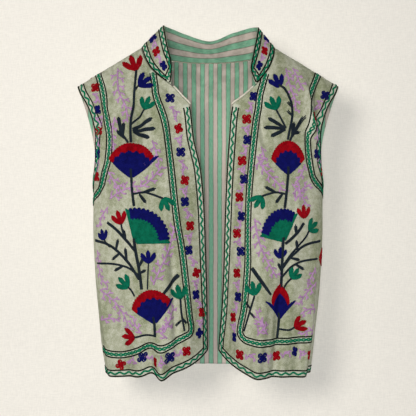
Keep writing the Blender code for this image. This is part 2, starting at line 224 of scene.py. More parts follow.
class Silk(Enum):
    """The embroidery threads."""

    RED = "red"
    BLUE = "blue"
    GREEN = "green"
    SLATE = "slate"
    LILAC = "lilac"
    OUTLINE = "outline"
    WAVE = "wave"


# --- Curves -------------------------------------------------------------------------------------------


def columns(names: tuple[str, ...], rows: tuple) -> dict[str, Array]:
    """The rows of a table as one array for each named column."""
    return dict(zip(names, np.array(rows, float).T))


def smooth(at: Array, knots: Array, values: Array) -> Array:
    """A monotone cubic through knots: Hermite pieces whose slopes are weighted harmonic means.

    Args:
        at: where to read the curve.
        knots: rising or falling places of the values.
        values: the values at the knots.

    Returns:
        The curve at each place, held constant beyond its ends.
    """
    if knots[0] > knots[-1]:
        knots, values = knots[::-1], values[::-1]
    step = np.diff(knots)
    slope = np.diff(values) / step
    before, after = slope[:-1], slope[1:]
    weight_1 = 2 * step[1:] + step[:-1]
    weight_2 = step[1:] + 2 * step[:-1]
    same_way = before * after > 0
    safe_before = np.where(same_way, before, 1.0)
    safe_after = np.where(same_way, after, 1.0)
    mean = (weight_1 + weight_2) / (weight_1 / safe_before + weight_2 / safe_after)
    tangent = np.concatenate([slope[:1], np.where(same_way, mean, 0.0), slope[-1:]])
    at = np.clip(at, knots[0], knots[-1])
    k = np.clip(np.searchsorted(knots, at, side="right") - 1, 0, len(step) - 1)
    t = (at - knots[k]) / step[k]
    rise = (1 + 2 * t) * (1 - t) ** 2 * values[k] + t**2 * (3 - 2 * t) * values[k + 1]
    lean = t * (1 - t) ** 2 * tangent[k] - t**2 * (1 - t) * tangent[k + 1]
    return rise + lean * step[k]


def bezier(points: tuple, t: Array) -> Array:
    """A cubic from its four control points: each weighted by its Bernstein term at t."""
    a, b, c, d = (np.asarray(p, float) for p in points)
    t = t[:, None]
    return a * (1 - t) ** 3 + 3 * b * t * (1 - t) ** 2 + 3 * c * t**2 * (1 - t) + d * t**3


def unit(vectors: Array) -> Array:
    """Vectors along the last axis brought to length 1."""
    return vectors / np.maximum(np.linalg.norm(vectors, axis=-1, keepdims=True), 1e-9)


def run_of(path: Array) -> Array:
    """The length along a path at each of its points."""
    return np.concatenate([[0.0], np.cumsum(np.linalg.norm(np.diff(path, axis=0), axis=1))])


def spaced(path: Array, count: int) -> Array:
    """count + 1 points at even distances along a path."""
    run = run_of(path)
    at = np.linspace(0.0, run[-1], count + 1)
    return np.column_stack([np.interp(at, run, path[:, k]) for k in range(path.shape[1])])


def rounded(points: Array, step: float = 1.5) -> Array:
    """A curve through points: cubic pieces whose tangents are half of neighbour to neighbour.

    Args:
        points: the places it passes through, [point, axis].
        step: the distance between the points returned.

    Returns:
        Points about step apart along the curve.
    """
    points = np.asarray(points, float)
    if len(points) == 2:
        return spaced(points, max(1, round(float(run_of(points)[-1]) / step)))
    tangent = np.gradient(points, axis=0)
    t = np.linspace(0.0, 1.0, 24, endpoint=False)[:, None, None]
    start, end = points[:-1], points[1:]
    curve = (1 + 2 * t) * (1 - t) ** 2 * start + t**2 * (3 - 2 * t) * end
    curve = curve + t * (1 - t) ** 2 * tangent[:-1] - t**2 * (1 - t) * tangent[1:]
    curve = np.vstack([curve.transpose(1, 0, 2).reshape(-1, points.shape[1]), points[-1]])
    return spaced(curve, max(1, round(float(run_of(curve)[-1]) / step)))


def beside(path: Array, distance: Array | float) -> Array:
    """A path's flat points moved to its left by a distance, or to its right if it is negative."""
    along = unit(np.gradient(path, axis=0))
    left = np.column_stack([-along[:, 1], along[:, 0]])
    return path + left * np.broadcast_to(distance, len(path))[:, None]


def turned(points: Array, degrees: float) -> Array:
    """Flat points turned clockwise about the origin."""
    a = np.radians(degrees)
    return points @ np.array([[np.cos(a), -np.sin(a)], [np.sin(a), np.cos(a)]])


def bilinear(grid: Array, row: Array, col: Array) -> Array:
    """A grid read between its points: the four neighbours weighted by how near they are."""
    row = np.clip(row, 0, grid.shape[0] - 1.001)
    col = np.clip(col, 0, grid.shape[1] - 1.001)
    i, j = row.astype(int), col.astype(int)
    a, b = row - i, col - j
    if grid.ndim == 3:
        a, b = a[:, None], b[:, None]
    low = grid[i, j] * (1 - b) + grid[i, j + 1] * b
    high = grid[i + 1, j] * (1 - b) + grid[i + 1, j + 1] * b
    return low * (1 - a) + high * a


# --- The panels' form ---------------------------------------------------------------------------------


def at_station(table: dict[str, Array], name: str, station: float) -> float:
    """One column of a table of sections, at a station between them."""
    values = table[name]
    return float(smooth(np.array([station]), np.arange(len(values), dtype=float), values)[0])


def quarter(start: list[float], end: list[float], turn: float) -> tuple:
    """Control points from a crown, where the cloth runs sideways, to an end where it has turned.

    Args:
        start: the crown's place in the plan.
        end: the end's place in the plan.
        turn: how far the cloth has turned there, in degrees.

    Returns:
        Four control points, the third drawn back from the end along its direction.
    """
    first, last = np.array(start), np.array(end)
    across, back = abs(last[0] - first[0]), abs(last[1] - first[1])
    angle = np.radians(turn)
    along_end = np.where(last >= first, 1.0, -1.0) * [np.cos(angle), np.sin(angle)]
    pull = 0.62 * (across * np.cos(angle) + back * np.sin(angle))
    pull = min(pull, 0.9 * back / max(np.sin(angle), 0.01))
    return first, first + [0.62 * (last[0] - first[0]), 0.0], last - along_end * pull, last


def normals_of(grid: Array, sign: int) -> Array:
    """Unit normals: the cross of the grid's differences along its rows and its columns."""
    return unit(np.cross(np.gradient(grid, axis=1), np.gradient(grid, axis=0)) * sign)


def folded(grid: Array, normal: Array, u: Array, name: str) -> Array:
    """The form with its folds: a Gaussian crest or trough along a line from a low end to a high end.

    Args:
        grid: the plain form, [row, column, axis].
        normal: its unit normals.
        u: each column's share of the width, counted from the front edge, or from the left on the back.
        name: the panel's name in the table of folds.

    Returns:
        The grid moved along its normals by lift, sideways by lean and up by rise, times the crest.
    """
    v = np.linspace(0, 1, grid.shape[0])[:, None]
    side = unit(np.gradient(grid, axis=1) * np.sign(u[-1] - u[0]))
    clear = np.clip(np.minimum(u, 1 - u) / 0.06, 0, 1) * np.clip((1 - v) / 0.05, 0, 1)
    moved = grid.copy()
    for row in FOLDS[name]:
        fold = dict(zip(FOLD_COLUMNS, row))
        share = (grid[..., 2] - fold["low_z"]) / (fold["high_z"] - fold["low_z"])
        centre = fold["low_u"] + (fold["high_u"] - fold["low_u"]) * np.clip(share, 0, 1)
        crest = np.exp(-(((u - centre) / fold["width"] / FOLD_NARROWING) ** 2))
        below = 1.0 if fold["low_z"] < -595.0 else np.clip(share / 0.2, 0, 1)
        above = np.clip((1 - share) / 0.5, 0, 1) ** 1.5
        size = (crest * below * above * clear)[..., None]
        way = normal * fold["lift"] * FOLD_LIFT + side * fold["lean"] * FOLD_LEAN
        moved += size * (way + [0.0, 0.0, fold.get("rise", 0.0)])
    return moved


def run_across(grid: Array) -> Array:
    """The length along each row of a grid in the plan, at each of its points."""
    step = np.diff(grid[..., :2], axis=1, prepend=grid[:, :1, :2])
    return np.cumsum(np.hypot(step[..., 0], step[..., 1]), axis=1)


def ripples(grid: Array, normal: Array, size: float, seed: int) -> Array:
    """The small unevenness of hanging cloth: a sum of crossed sine waves, still at the edges.

    Args:
        grid: the form, [row, column, axis].
        normal: its unit normals.
        size: the waves' height together.
        seed: what the waves' phases are drawn from.

    Returns:
        The grid moved along its normals.
    """
    draw = np.random.default_rng(seed)
    rows, cols = grid.shape[:2]
    v, u = np.meshgrid(np.linspace(0, 1, rows), np.linspace(0, 1, cols), indexing="ij")
    wave = np.zeros((rows, cols))
    for reach, rise in ((2.3, 1.2), (3.7, 2.6), (5.9, 1.7), (7.1, 5.3), (11.0, 4.1)):
        phase = draw.uniform(0, 2 * np.pi, 2)
        wave += np.sin(2 * np.pi * (reach * u + 0.6 * rise * v) + phase[0]) * np.sin(
            2 * np.pi * (rise * v - 0.4 * reach * u) + phase[1]
        )
    still = np.clip(np.minimum(np.minimum(u, 1 - u), np.minimum(v, 1 - v)) / 0.05, 0, 1)
    return grid + normal * (wave * still * size / 5)[..., None]


@dataclass
class Patch:
    """A panel's outside, and the way from a flat place on it to its place in space.

    Attributes:
        points: the outside as a grid [row, column, axis], columns running to +X, in millimetres.
        plain: the same before its folds, from which face-on places are read.
        across: the flat coordinate of each point along the cloth.
        up: its flat height.
        sign: 1 where the outside faces -Y, and -1 where it faces +Y.
        pitch: how far apart the tabulated flat places are.
    """

    points: Array
    plain: Array
    across: Array
    up: Array
    sign: int
    pitch: float = 1.0

    def __post_init__(self) -> None:
        """Tabulates, at even flat places, the row and the column that lie there."""
        self.normals = normals_of(self.points, self.sign)
        rows, cols = self.up.shape
        self.levels = np.arange(self.up.min(), self.up.max() + self.pitch, self.pitch)
        self.reaches = np.arange(self.across.min(), self.across.max() + self.pitch, self.pitch)
        col = np.arange(cols, dtype=float)

        def at_levels(values: Array) -> Array:
            """One value of each column at every level."""
            return np.stack([np.interp(self.levels, self.up[:, j], values[:, j]) for j in range(cols)], 1)

        row_at = at_levels(np.repeat(np.arange(rows, dtype=float)[:, None], cols, axis=1))
        self.across_at = at_levels(self.across)
        self.seen_at = at_levels(self.plain[..., 0])
        self.col_of = np.stack([np.interp(self.reaches, a, col) for a in self.across_at])
        self.row_of = np.stack([np.interp(self.reaches, a, r) for a, r in zip(self.across_at, row_at)])

    @property
    def layout(self) -> Array:
        """The flat place of each point, [row, column, (across, up)]."""
        return np.stack([self.across, self.up], axis=2)

    def flat(self, seen: Array) -> Array:
        """Flat places of points seen face-on, as (x, height)."""
        seen = np.atleast_2d(np.asarray(seen, float))
        level = np.round((seen[:, 1] - self.levels[0]) / self.pitch)
        level = np.clip(level, 0, len(self.levels) - 1).astype(int)
        across = [np.interp(x, self.seen_at[i], self.across_at[i]) for x, i in zip(seen[:, 0], level)]
        return np.column_stack([across, seen[:, 1]])

    def place(self, flat: Array) -> tuple[Array, Array, Array]:
        """Points in space for flat places.

        Args:
            flat: the places, [point, (across, up)].

        Returns:
            The points, the unit normals there, and which places do lie on the panel.
        """
        i = (flat[:, 1] - self.levels[0]) / self.pitch
        j = (flat[:, 0] - self.reaches[0]) / self.pitch
        row, col = bilinear(self.row_of, i, j), bilinear(self.col_of, i, j)
        miss = np.abs(bilinear(self.across, row, col) - flat[:, 0])
        miss += np.abs(bilinear(self.up, row, col) - flat[:, 1])
        return bilinear(self.points, row, col), bilinear(self.normals, row, col), miss < 1.2


def outline(*edges: Array) -> Array:
    """A flat path along edges of a grid, each given as its (across, up) points."""
    return spaced(np.vstack(edges), 600)


def inset(path: Array, distance: float, side: int) -> Array:
    """The path at a distance inside an outline, with the parts cut off that come too near it at corners.

    Args:
        path: the outline, an evenly spaced flat path.
        distance: how far inside.
        side: 1 where the panel lies to the path's left, and -1 where it lies to its right.

    Returns:
        The inset path.
    """
    moved = beside(path, side * distance)
    gap = np.linalg.norm(moved[:, None] - path[None], axis=2).min(axis=1)
    return moved[gap > distance - 0.25]


@dataclass
class Front:
    """One front: its cloth, and where its borders and its plant of flowers lie.

    Attributes:
        side: left or right, seen from the front.
        cols: grid columns from the front edge to the side.
        rows_per_section: grid rows between two sections of the loft.
        wall: thickness of the cloth and its lining together.
    """

    side: Side
    cols: int = 104
    rows_per_section: int = 13
    wall: float = 2.0

    @property
    def name(self) -> str:
        """The panel's name."""
        return f"front_{self.side.name.lower()}"

    def form(self) -> Array:
        """The unfolded outside: each section rises from the front edge to a crown and falls to the side."""
        inner, outer = columns(INNER_COLUMNS, INNER_OUTLINE), columns(OUTER_COLUMNS, OUTER_OUTLINE)
        table = columns(FRONT_COLUMNS, FRONT_SECTIONS)
        reach = f"{self.side.name.lower()}_reach"
        fine, u = np.linspace(0.0, 1.0, 60), np.linspace(0.0, 1.0, self.cols + 1)
        last = len(FRONT_SECTIONS) - 1
        grid = []
        for station in np.linspace(0, last, last * self.rows_per_section + 1):
            inner_z, outer_z = (at_station(table, name, station) for name in ("inner_z", "outer_z"))
            edge = [float(smooth(inner_z, inner["z"], inner[name])) for name in (reach, "y")]
            end = [float(smooth(outer_z, outer["z"], outer[name])) for name in ("front_reach", "front_y")]
            crown = [max(at_station(table, "crown_reach", station), edge[0] + 8.0)]
            crown.append(at_station(table, "crown_y", station))
            curl = np.radians(at_station(table, "curl", station))
            pull = 0.38 * np.hypot(crown[0] - edge[0], crown[1] - edge[1])
            leaving = [edge[0] + pull * np.cos(curl), edge[1] - pull * np.sin(curl)]
            rising = bezier((edge, leaving, [crown[0] - pull, crown[1]], crown), fine)
            falling = bezier(quarter(crown, end, at_station(table, "turn", station)), fine)
            plan = spaced(np.vstack([rising, falling[1:]]), self.cols)
            height = outer_z + (inner_z - outer_z) * (1 - u) ** at_station(table, "ease", station)
            grid.append(np.column_stack([plan, height]))
        grid = np.array(grid)
        grid[:, -1, 1] -= SEAM_GAP / 2 * (grid[:, -1, 2] <= UNDERARM_Z + 0.5)
        grid[-1, :, 1] -= SEAM_GAP / 2
        return grid

    def patch(self) -> Patch:
        """The folded outside with its flat coordinates, its columns running to +X."""
        plain, u = self.form(), np.linspace(0.0, 1.0, self.cols + 1)
        run = run_across(plain)
        datum = np.clip(DATUM_REACH, plain[:, 0, 0], plain[:, -1, 0])
        at_datum = np.array([np.interp(d, x, r) for d, x, r in zip(datum, plain[..., 0], run)])
        across = datum[:, None] + run - at_datum[:, None]
        if self.side is Side.LEFT:
            plain = plain[:, ::-1] * [-1, 1, 1]
            across, u = -across[:, ::-1], u[::-1]
        normal = normals_of(plain, 1)
        shaped = folded(plain, normal, u, self.name)
        shaped = ripples(shaped, normal, 2.6, 11 + self.side.value)
        return Patch(shaped, plain, across, plain[..., 2], 1)

    def edges(self, patch: Patch) -> dict[str, Array]:
        """The flat outlines that borders follow: front edge and hem together, and the armhole."""
        flat = patch.layout
        if self.side is Side.LEFT:
            flat = flat[:, ::-1]
        corner = int(np.argmin(np.abs(flat[:, 0, 1] - NECK_CORNER_Z)))
        underarm = int(np.argmin(np.abs(flat[:, -1, 1] - UNDERARM_Z)))
        return {
            "front": outline(flat[corner::-1, 0], flat[0, 1:]),
            "armhole": outline(flat[: underarm - 1 : -1, -1]),
        }


@dataclass
class Back:
    """The back, from which its lining is offset.

    Attributes:
        name: the panel's name.
        cols: grid columns from side to side.
        rows_per_section: grid rows between two sections of the loft.
        wall: thickness of its outer cloth.
    """

    name: str = "back"
    cols: int = 112
    rows_per_section: int = 8
    wall: float = 1.3

    def form(self) -> Array:
        """The unfolded outside: sections that turn at both sides, drawn in to the shoulders and neckline."""
        outer, table = columns(OUTER_COLUMNS, OUTER_OUTLINE), columns(BACK_COLUMNS, BACK_SECTIONS)
        fine, u = np.linspace(0.0, 1.0, 60), np.linspace(0.0, 1.0, self.cols + 1)
        last = len(BACK_SECTIONS) - 1
        grid = []
        for station in np.linspace(0, last, last * self.rows_per_section + 1):
            centre_z, outer_z = (at_station(table, name, station) for name in ("centre_z", "outer_z"))
            end = [float(smooth(outer_z, outer["z"], outer[name])) for name in ("back_reach", "back_y")]
            centre = [0.0, at_station(table, "centre_y", station)]
            half = bezier(quarter(centre, end, at_station(table, "turn", station)), fine)
            plan = spaced(np.vstack([half[::-1] * [-1, 1], half[1:]]), self.cols)
            height = outer_z + (centre_z - outer_z) * (1 - np.abs(2 * u - 1) ** 1.6)
            grid.append(np.column_stack([plan, height]))
        grid = np.array(grid)
        settle = np.clip((np.linspace(0.0, 1.0, len(grid)) - 0.62) / 0.38, 0.0, 1.0) ** 2
        grid += settle[:, None, None] * (self.top(u) - grid[-1])
        under = grid[:, 0, 2] <= UNDERARM_Z + 0.5
        grid[under, 0, 1] += SEAM_GAP / 2
        grid[under, -1, 1] += SEAM_GAP / 2
        grid[-1, :, 1] += SEAM_GAP / 2
        return grid

    def top(self, u: Array) -> Array:
        """The top edge: straight shoulders, and between them an elliptical neckline."""
        out = np.clip((np.abs(u - 0.5) - 0.25) / 0.25, 0.0, 1.0)
        wide = NECK_REACH + out * (TIP_REACH - NECK_REACH)
        x = np.where(out > 0, np.sign(u - 0.5) * wide, (u - 0.5) / 0.25 * NECK_REACH)
        share = np.sqrt(np.clip(1 - (x / NECK_REACH) ** 2, 0.0, 1.0))
        z = np.where(out > 0, -out * TIP_DROP, -BACK_NECK_DROP * share)
        return np.column_stack([x, BACK_NECK_DEPTH * share, z])

    def patch(self) -> Patch:
        """The folded outside with its flat coordinates, counted from the centre."""
        plain, u = self.form(), np.linspace(0.0, 1.0, self.cols + 1)
        run = run_across(plain)
        across = run - run[:, self.cols // 2, None]
        normal = normals_of(plain, -1)
        shaped = ripples(folded(plain, normal, u, self.name), normal, 1.6, 5)
        return Patch(shaped, plain, across, plain[..., 2], -1)

    def edges(self, patch: Patch) -> dict[str, Array]:
        """The flat outlines that borders follow: the hem and the two armholes."""
        flat = patch.layout
        underarm = int(np.argmin(np.abs(flat[:, -1, 1] - UNDERARM_Z)))
        return {
            "hem": outline(flat[0]),
            "left": outline(flat[: underarm - 1 : -1, 0]),
            "right": outline(flat[: underarm - 1 : -1, -1]),
        }


@dataclass
class Collar:
    """The standing collar, ruled from the neck seam to its free edge, with a little roll between them.

    Attributes:
        name: the panel's name.
        cols: grid columns from end to end.
        rows: grid rows from the seam to the free edge.
        wall: thickness of its outer cloth.
        clearance: how far above the neck seam it starts.
        roll: how far it bows out halfway up.
    """

    name: str = "collar"
    cols: int = 200
    rows: int = 24
    wall: float = 1.3
    clearance: float = 0.9
    roll: float = 1.6

    def patch(self, fronts: dict[Side, Patch], back: Patch) -> Patch:
        """The outside, its flat coordinates being the length along the seam and the height above it."""
        table = columns(COLLAR_COLUMNS, COLLAR_STATIONS)
        run = np.linspace(0, 1, self.cols + 1)
        left, right = fronts[Side.LEFT].points[:, -1], fronts[Side.RIGHT].points[:, 0]
        nape = back.points[-1][np.abs(back.points[-1][:, 0]) < NECK_REACH - 0.1]
        sides = [edge[edge[:, 2] >= COLLAR_END_Z - 0.1] for edge in (left, right)]
        seam = np.vstack([sides[0], nape, sides[1][::-1]])
        seam = spaced(seam, self.cols)
        top = np.column_stack([smooth(run, table["run"], table[name]) for name in COLLAR_COLUMNS[1:]])
        seam = seam + unit(top - seam) * self.clearance
        share = np.linspace(0.0, 1.0, self.rows + 1)[:, None, None]
        plain = seam + (top - seam) * share
        bow = self.roll * np.sin(np.pi * share) * np.sin(np.pi * run)[None, :, None] ** 0.5
        shaped = plain + normals_of(plain, -1) * bow
        middle = run_of(plain[self.rows // 2])
        across = np.repeat((middle - middle[-1] / 2)[None], self.rows + 1, axis=0)
        up = np.repeat(share[..., 0] * COLLAR_HEIGHT, self.cols + 1, axis=1)
        return Patch(shaped, plain, across, up, -1)

    def edges(self, patch: Patch) -> dict[str, Array]:
        """The flat outline all round: seam, right end, free edge, left end."""
        half = float(patch.across[0, -1])
        low, high = 0.0, COLLAR_HEIGHT
        corners = np.array([[-half, low], [half, low], [half, high], [-half, high], [-half, low]])
        return {"round": spaced(corners, 800)}


# --- Meshes -------------------------------------------------------------------------------------------


def put(name: str, points: Array, faces: list[Array], material: Array | None = None) -> bpy.types.Object:
    """A mesh object at the origin from arrays, made smooth and riding on the waistcoat's one body.

    Args:
        name: the piece's name.
        points: its vertices in millimetres.
        faces: arrays of quads or triangles, each [face, corner].
        material: the material slot of each face, in the order of the faces.

    Returns:
        The new object.
    """
    mesh = bpy.data.meshes.new(name)
    loops = np.concatenate([f.ravel() for f in faces]).astype(np.int32)
    sizes = np.concatenate([np.full(len(f), f.shape[1]) for f in faces]).astype(np.int32)
    mesh.vertices.add(len(points))
    mesh.vertices.foreach_set("co", (np.asarray(points, float) * MM).ravel())
    mesh.loops.add(len(loops))
    mesh.loops.foreach_set("vertex_index", loops)
    mesh.polygons.add(len(sizes))
    mesh.polygons.foreach_set("loop_start", np.concatenate([[0], np.cumsum(sizes)[:-1]]).astype(np.int32))
    mesh.update(calc_edges=True)
    if material is not None:
        mesh.polygons.foreach_set("material_index", material.astype(np.int32))
    mesh.validate()
    mesh.shade_smooth()
    made = bpy.data.objects.new(name, mesh)
    bpy.context.scene.collection.objects.link(made)
    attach(made, "root")
    log.info("%s: %d triangles", name, int((sizes - 2).sum()))
    return made


def lay_flat(piece: bpy.types.Object, flat: Array) -> None:
    """Gives a piece a UV map that holds each vertex's flat place in decimetres."""
    corner = np.zeros(len(piece.data.loops), np.int32)
    piece.data.loops.foreach_get("vertex_index", corner)
    layer = piece.data.uv_layers.new(name="flat")
    layer.data.foreach_set("uv", (flat[corner] / 100.0).ravel().astype(np.float32))


def shell(name: str, patch: Patch, top: float, wall: float, lined: bool = False) -> bpy.types.Object:
    """A closed cloth wall: the patch's grid moved to two depths along its normals, and the rim between.

    Args:
        name: the piece's name.
        patch: the panel whose outside it follows.
        top: how far inside that outside the wall's own outside lies.
        wall: its thickness.
        lined: whether its inner face takes a second material.

    Returns:
        The wall as an object with a flat UV map.
    """
    rows, cols = patch.up.shape
    count = rows * cols
    outside = patch.points - patch.normals * top
    inside = outside - patch.normals * wall
    number = np.arange(count).reshape(rows, cols)
    cell = [number[:-1, :-1], number[:-1, 1:], number[1:, 1:], number[1:, :-1]]
    face = np.stack(cell, axis=-1).reshape(-1, 4)
    border = np.concatenate([number[0], number[1:, -1], number[-1, -2::-1], number[-2:0:-1, 0]])
    after = np.roll(border, -1)
    rim = np.stack([after, border, border + count, after + count], axis=-1)
    faces = [face, face[:, ::-1] + count, rim]
    if patch.sign < 0:
        faces = [f[:, ::-1] for f in faces]
    slot = np.concatenate([np.zeros(len(face)), np.full(len(face), int(lined)), np.zeros(len(rim))])
    made = put(name, np.concatenate([outside.reshape(-1, 3), inside.reshape(-1, 3)]), faces, slot)
    flat = patch.layout.reshape(-1, 2)
    lay_flat(made, np.concatenate([flat, flat]))
    return made


def braid_ground(piece: bpy.types.Object, patch: Patch, lines: list[Array]) -> None:
    """Marks the cloth under the braids: 1 within half a braid of a line, falling to 0 just outside it."""
    flat = patch.layout.reshape(-1, 2)
    near = np.full(len(flat), 1e9)
    for line in lines:
        thin = line[:: max(1, len(line) // 220)]
        for part in np.array_split(np.arange(len(flat)), 24):
            gap = np.linalg.norm(flat[part, None] - thin[None], axis=2).min(axis=1)
            near[part] = np.minimum(near[part], gap)
    value = np.clip((BRAID_HALF + 2.0 - near) / 3.0, 0, 1)
    value = np.concatenate([value, value * 0]).astype(np.float32)
    layer = piece.data.attributes.new("braid", "FLOAT", "POINT")
    layer.data.foreach_set("value", value)


# --- Embroidery ---------------------------------------------------------------------------------------

# The distance between the rows of a petal, the length of a stitch, the distance from a braid's middle to
# its outlines and their width. Then a row's width between stitches and at its ends as shares of its width
# in mid-stitch, the share of the width that its crown takes, and how far its foot lies in the cloth.
ROW = 1.9
STITCH = 3.2
BRAID_HALF = 5.2
OUTLINE_WIDTH = 3.2
PINCH = 0.84
END_WIDTH = 0.7
CROWN_WIDTH = 0.6
FOOT_DEPTH = 0.25

# How far from a corolla's foot every eighth row starts, then every fourth, every second and the rest.
ROW_STARTS = (3.0, 9.0, 18.0, 34.0)


@dataclass
class Needlework:
    """Rows of chain stitch, gathered by silk and worked at the end into one mesh for each."""

    rows: dict[Silk, list[tuple]] = field(default_factory=lambda: {silk: [] for silk in Silk})

    def sew(
        self, silk: Silk, patch: Patch, path: Array, width: Array | float = 2.2, lift: float = 0.0
    ) -> None:
        """One row of stitches along a flat path.

        Args:
            silk: its thread.
            patch: the panel it is worked on.
            path: its flat points.
            width: the row's width, at each point or throughout.
            lift: how far it lies over other rows.
        """
        run = run_of(path)
        if run[-1] < 1.0:
            return
        count = max(2, round(float(run[-1]) / (STITCH / 2)))
        at = np.linspace(0.0, run[-1], count + 1)
        broad = np.interp(at, run, np.broadcast_to(np.asarray(width, float), len(path)))
        self.rows[silk].append((patch, spaced(path, count), broad, lift))

    def mesh(self, silk: Silk) -> bpy.types.Object:
        """One mesh of all the rows in a silk.

        Each row is a closed tube with a flat foot in the cloth: at every point the foot's two corners and
        the crown's two, spread along normal cross tangent, wide in mid-stitch and narrow between stitches.

        Returns:
            The mesh as an object.
        """
        rows = self.rows[silk]
        places: dict[int, tuple] = {}
        for number in {id(row[0]) for row in rows}:
            mine = [k for k, row in enumerate(rows) if id(row[0]) == number]
            flat = np.concatenate([rows[k][1] for k in mine])
            point, normal, inside = rows[mine[0]][0].place(flat)
            ends = np.cumsum([len(rows[k][1]) for k in mine])[:-1]
            for k, *part in zip(mine, np.split(point, ends), np.split(normal, ends), np.split(inside, ends)):
                places[k] = tuple(part)
        in_order = zip(*(places[k] for k in range(len(rows))))
        point, normal, inside = (np.concatenate(part) for part in in_order)
        width = np.concatenate([row[2] for row in rows])
        lift = np.concatenate([np.full(len(row[1]), row[3]) for row in rows])
        run = np.concatenate([np.full(len(row[1]), k) for k, row in enumerate(rows)])
        beat = np.concatenate([np.arange(len(row[1])) for row in rows])
        piece = np.cumsum(np.concatenate([[1], (np.diff(run) != 0) | (np.diff(inside.astype(int)) != 0)]))
        sizes = np.bincount(piece)
        keep = inside & (sizes[piece] > 1)
        kept = (point, normal, width, lift, beat, piece)
        point, normal, width, lift, beat, piece = (a[keep] for a in kept)
        same = piece[1:] == piece[:-1]
        first = np.concatenate([[True], ~same])
        last = np.concatenate([~same, [True]])
        following = np.where(last[:, None], point, np.roll(point, -1, axis=0))
        before = np.where(first[:, None], point, np.roll(point, 1, axis=0))
        side = unit(np.cross(normal, following - before))
        bulge = np.where(beat % 2 == 1, 1.0, PINCH) * np.where(first | last, END_WIDTH, 1.0)
        half, tall = width * bulge / 2, (0.34 * np.minimum(width, 2.6) * bulge + 0.15)
        spread = np.array([-1.0, -CROWN_WIDTH, CROWN_WIDTH, 1.0])
        rise = np.array([0.0, 1.0, 1.0, 0.0])
        ring = point[:, None] + side[:, None] * (half[:, None] * spread)[..., None]
        height = (tall + lift)[:, None] * rise - FOOT_DEPTH * (1 - rise)
        ring = ring + normal[:, None] * height[..., None]
        start = np.arange(len(point))[:-1][same][:, None] * 4
        k, after = np.arange(4), np.roll(np.arange(4), -1)
        tube = np.stack([start + k, start + 4 + k, start + 4 + after, start + after], axis=2).reshape(-1, 4)
        opening = np.flatnonzero(first)[:, None] * 4 + k
        closing = np.flatnonzero(last)[:, None] * 4 + k[::-1]
        return put(f"silk_{silk.value}", ring.reshape(-1, 3), [tube, opening, closing])


@dataclass(frozen=True)
class Braid:
    """A border braid: two dark outlines with one or two wavy green rows between them.

    Attributes:
        wave_length: the length of a wave.
        swing: how far it swings to each side.
        crossed: whether a second wave runs against the first.
    """

    wave_length: float = 15.0
    swing: float = 1.7
    crossed: bool = False

    def work(self, needle: Needlework, patch: Patch, centre: Array) -> None:
        """Works the braid along a flat centre line: the wave is a sine of the length along it."""
        for side in (-1, 1):
            needle.sew(Silk.OUTLINE, patch, beside(centre, side * BRAID_HALF), OUTLINE_WIDTH)
        run = run_of(centre)
        for way in (1, -1) if self.crossed else (1,):
            wave = way * self.swing * np.sin(2 * np.pi * run / self.wave_length)
            needle.sew(Silk.WAVE, patch, beside(centre, wave), 3.4 if self.crossed else 4.0, 0.15)


PLAIN_BRAID = Braid()
CROSSED_BRAID = Braid(swing=1.9, crossed=True)

# How far the outer braids lie inside the cloth's edge, and on the back the inner braids and the flowers
# between them. Then the distances between the flowers there and on the collar, and how much nearer the centre
# line the back's plants stand than those of the fronts.
OUTER_BRAID_INSET = 7.0
BACK_BRAID_INSET = 58.0
BACK_BORDER_INSET = 33.0
BACK_FLOWER_GAP = 38.0
COLLAR_FLOWER_GAP = 33.0
BACK_PLANT_SHIFT = 36.0


def petal(base: Array, tip: Array, width: float, rows: int, bend: float = 0.0) -> list[Array]:
    """Rows that fill a club shape: narrow at its base, widening as a quarter sine, round at its tip.

    Args:
        base: where it starts.
        tip: where it ends.
        width: its greatest width.
        rows: how many rows fill it.
        bend: how far its middle swings to the left.

    Returns:
        One flat path for each row.
    """
    t = np.linspace(0.0, 1.0, 18)
    axis = np.asarray(tip, float) - base
    long = float(np.linalg.norm(axis))
    left = np.array([-axis[1], axis[0]]) / long
    spine = np.asarray(base) + t[:, None] * axis + (bend * np.sin(np.pi * t))[:, None] * left
    shape = 0.42 + 0.58 * np.sin(np.pi / 2 * np.clip(t / 0.68, 0.0, 1.0))
    shape = shape * np.sqrt(1 - 0.3 * np.clip((t - 0.84) / 0.16, 0.0, 1.0) ** 2)
    paths = []
    for lane in np.linspace(-1.0, 1.0, rows) if rows > 1 else (0.0,):
        offset = lane * (width - ROW) / 2 * shape
        keep = t <= 1 - width / 2 / long * (1 - np.sqrt(1 - 0.97 * lane**2))
        paths.append(beside(spine, offset)[keep])
    return paths


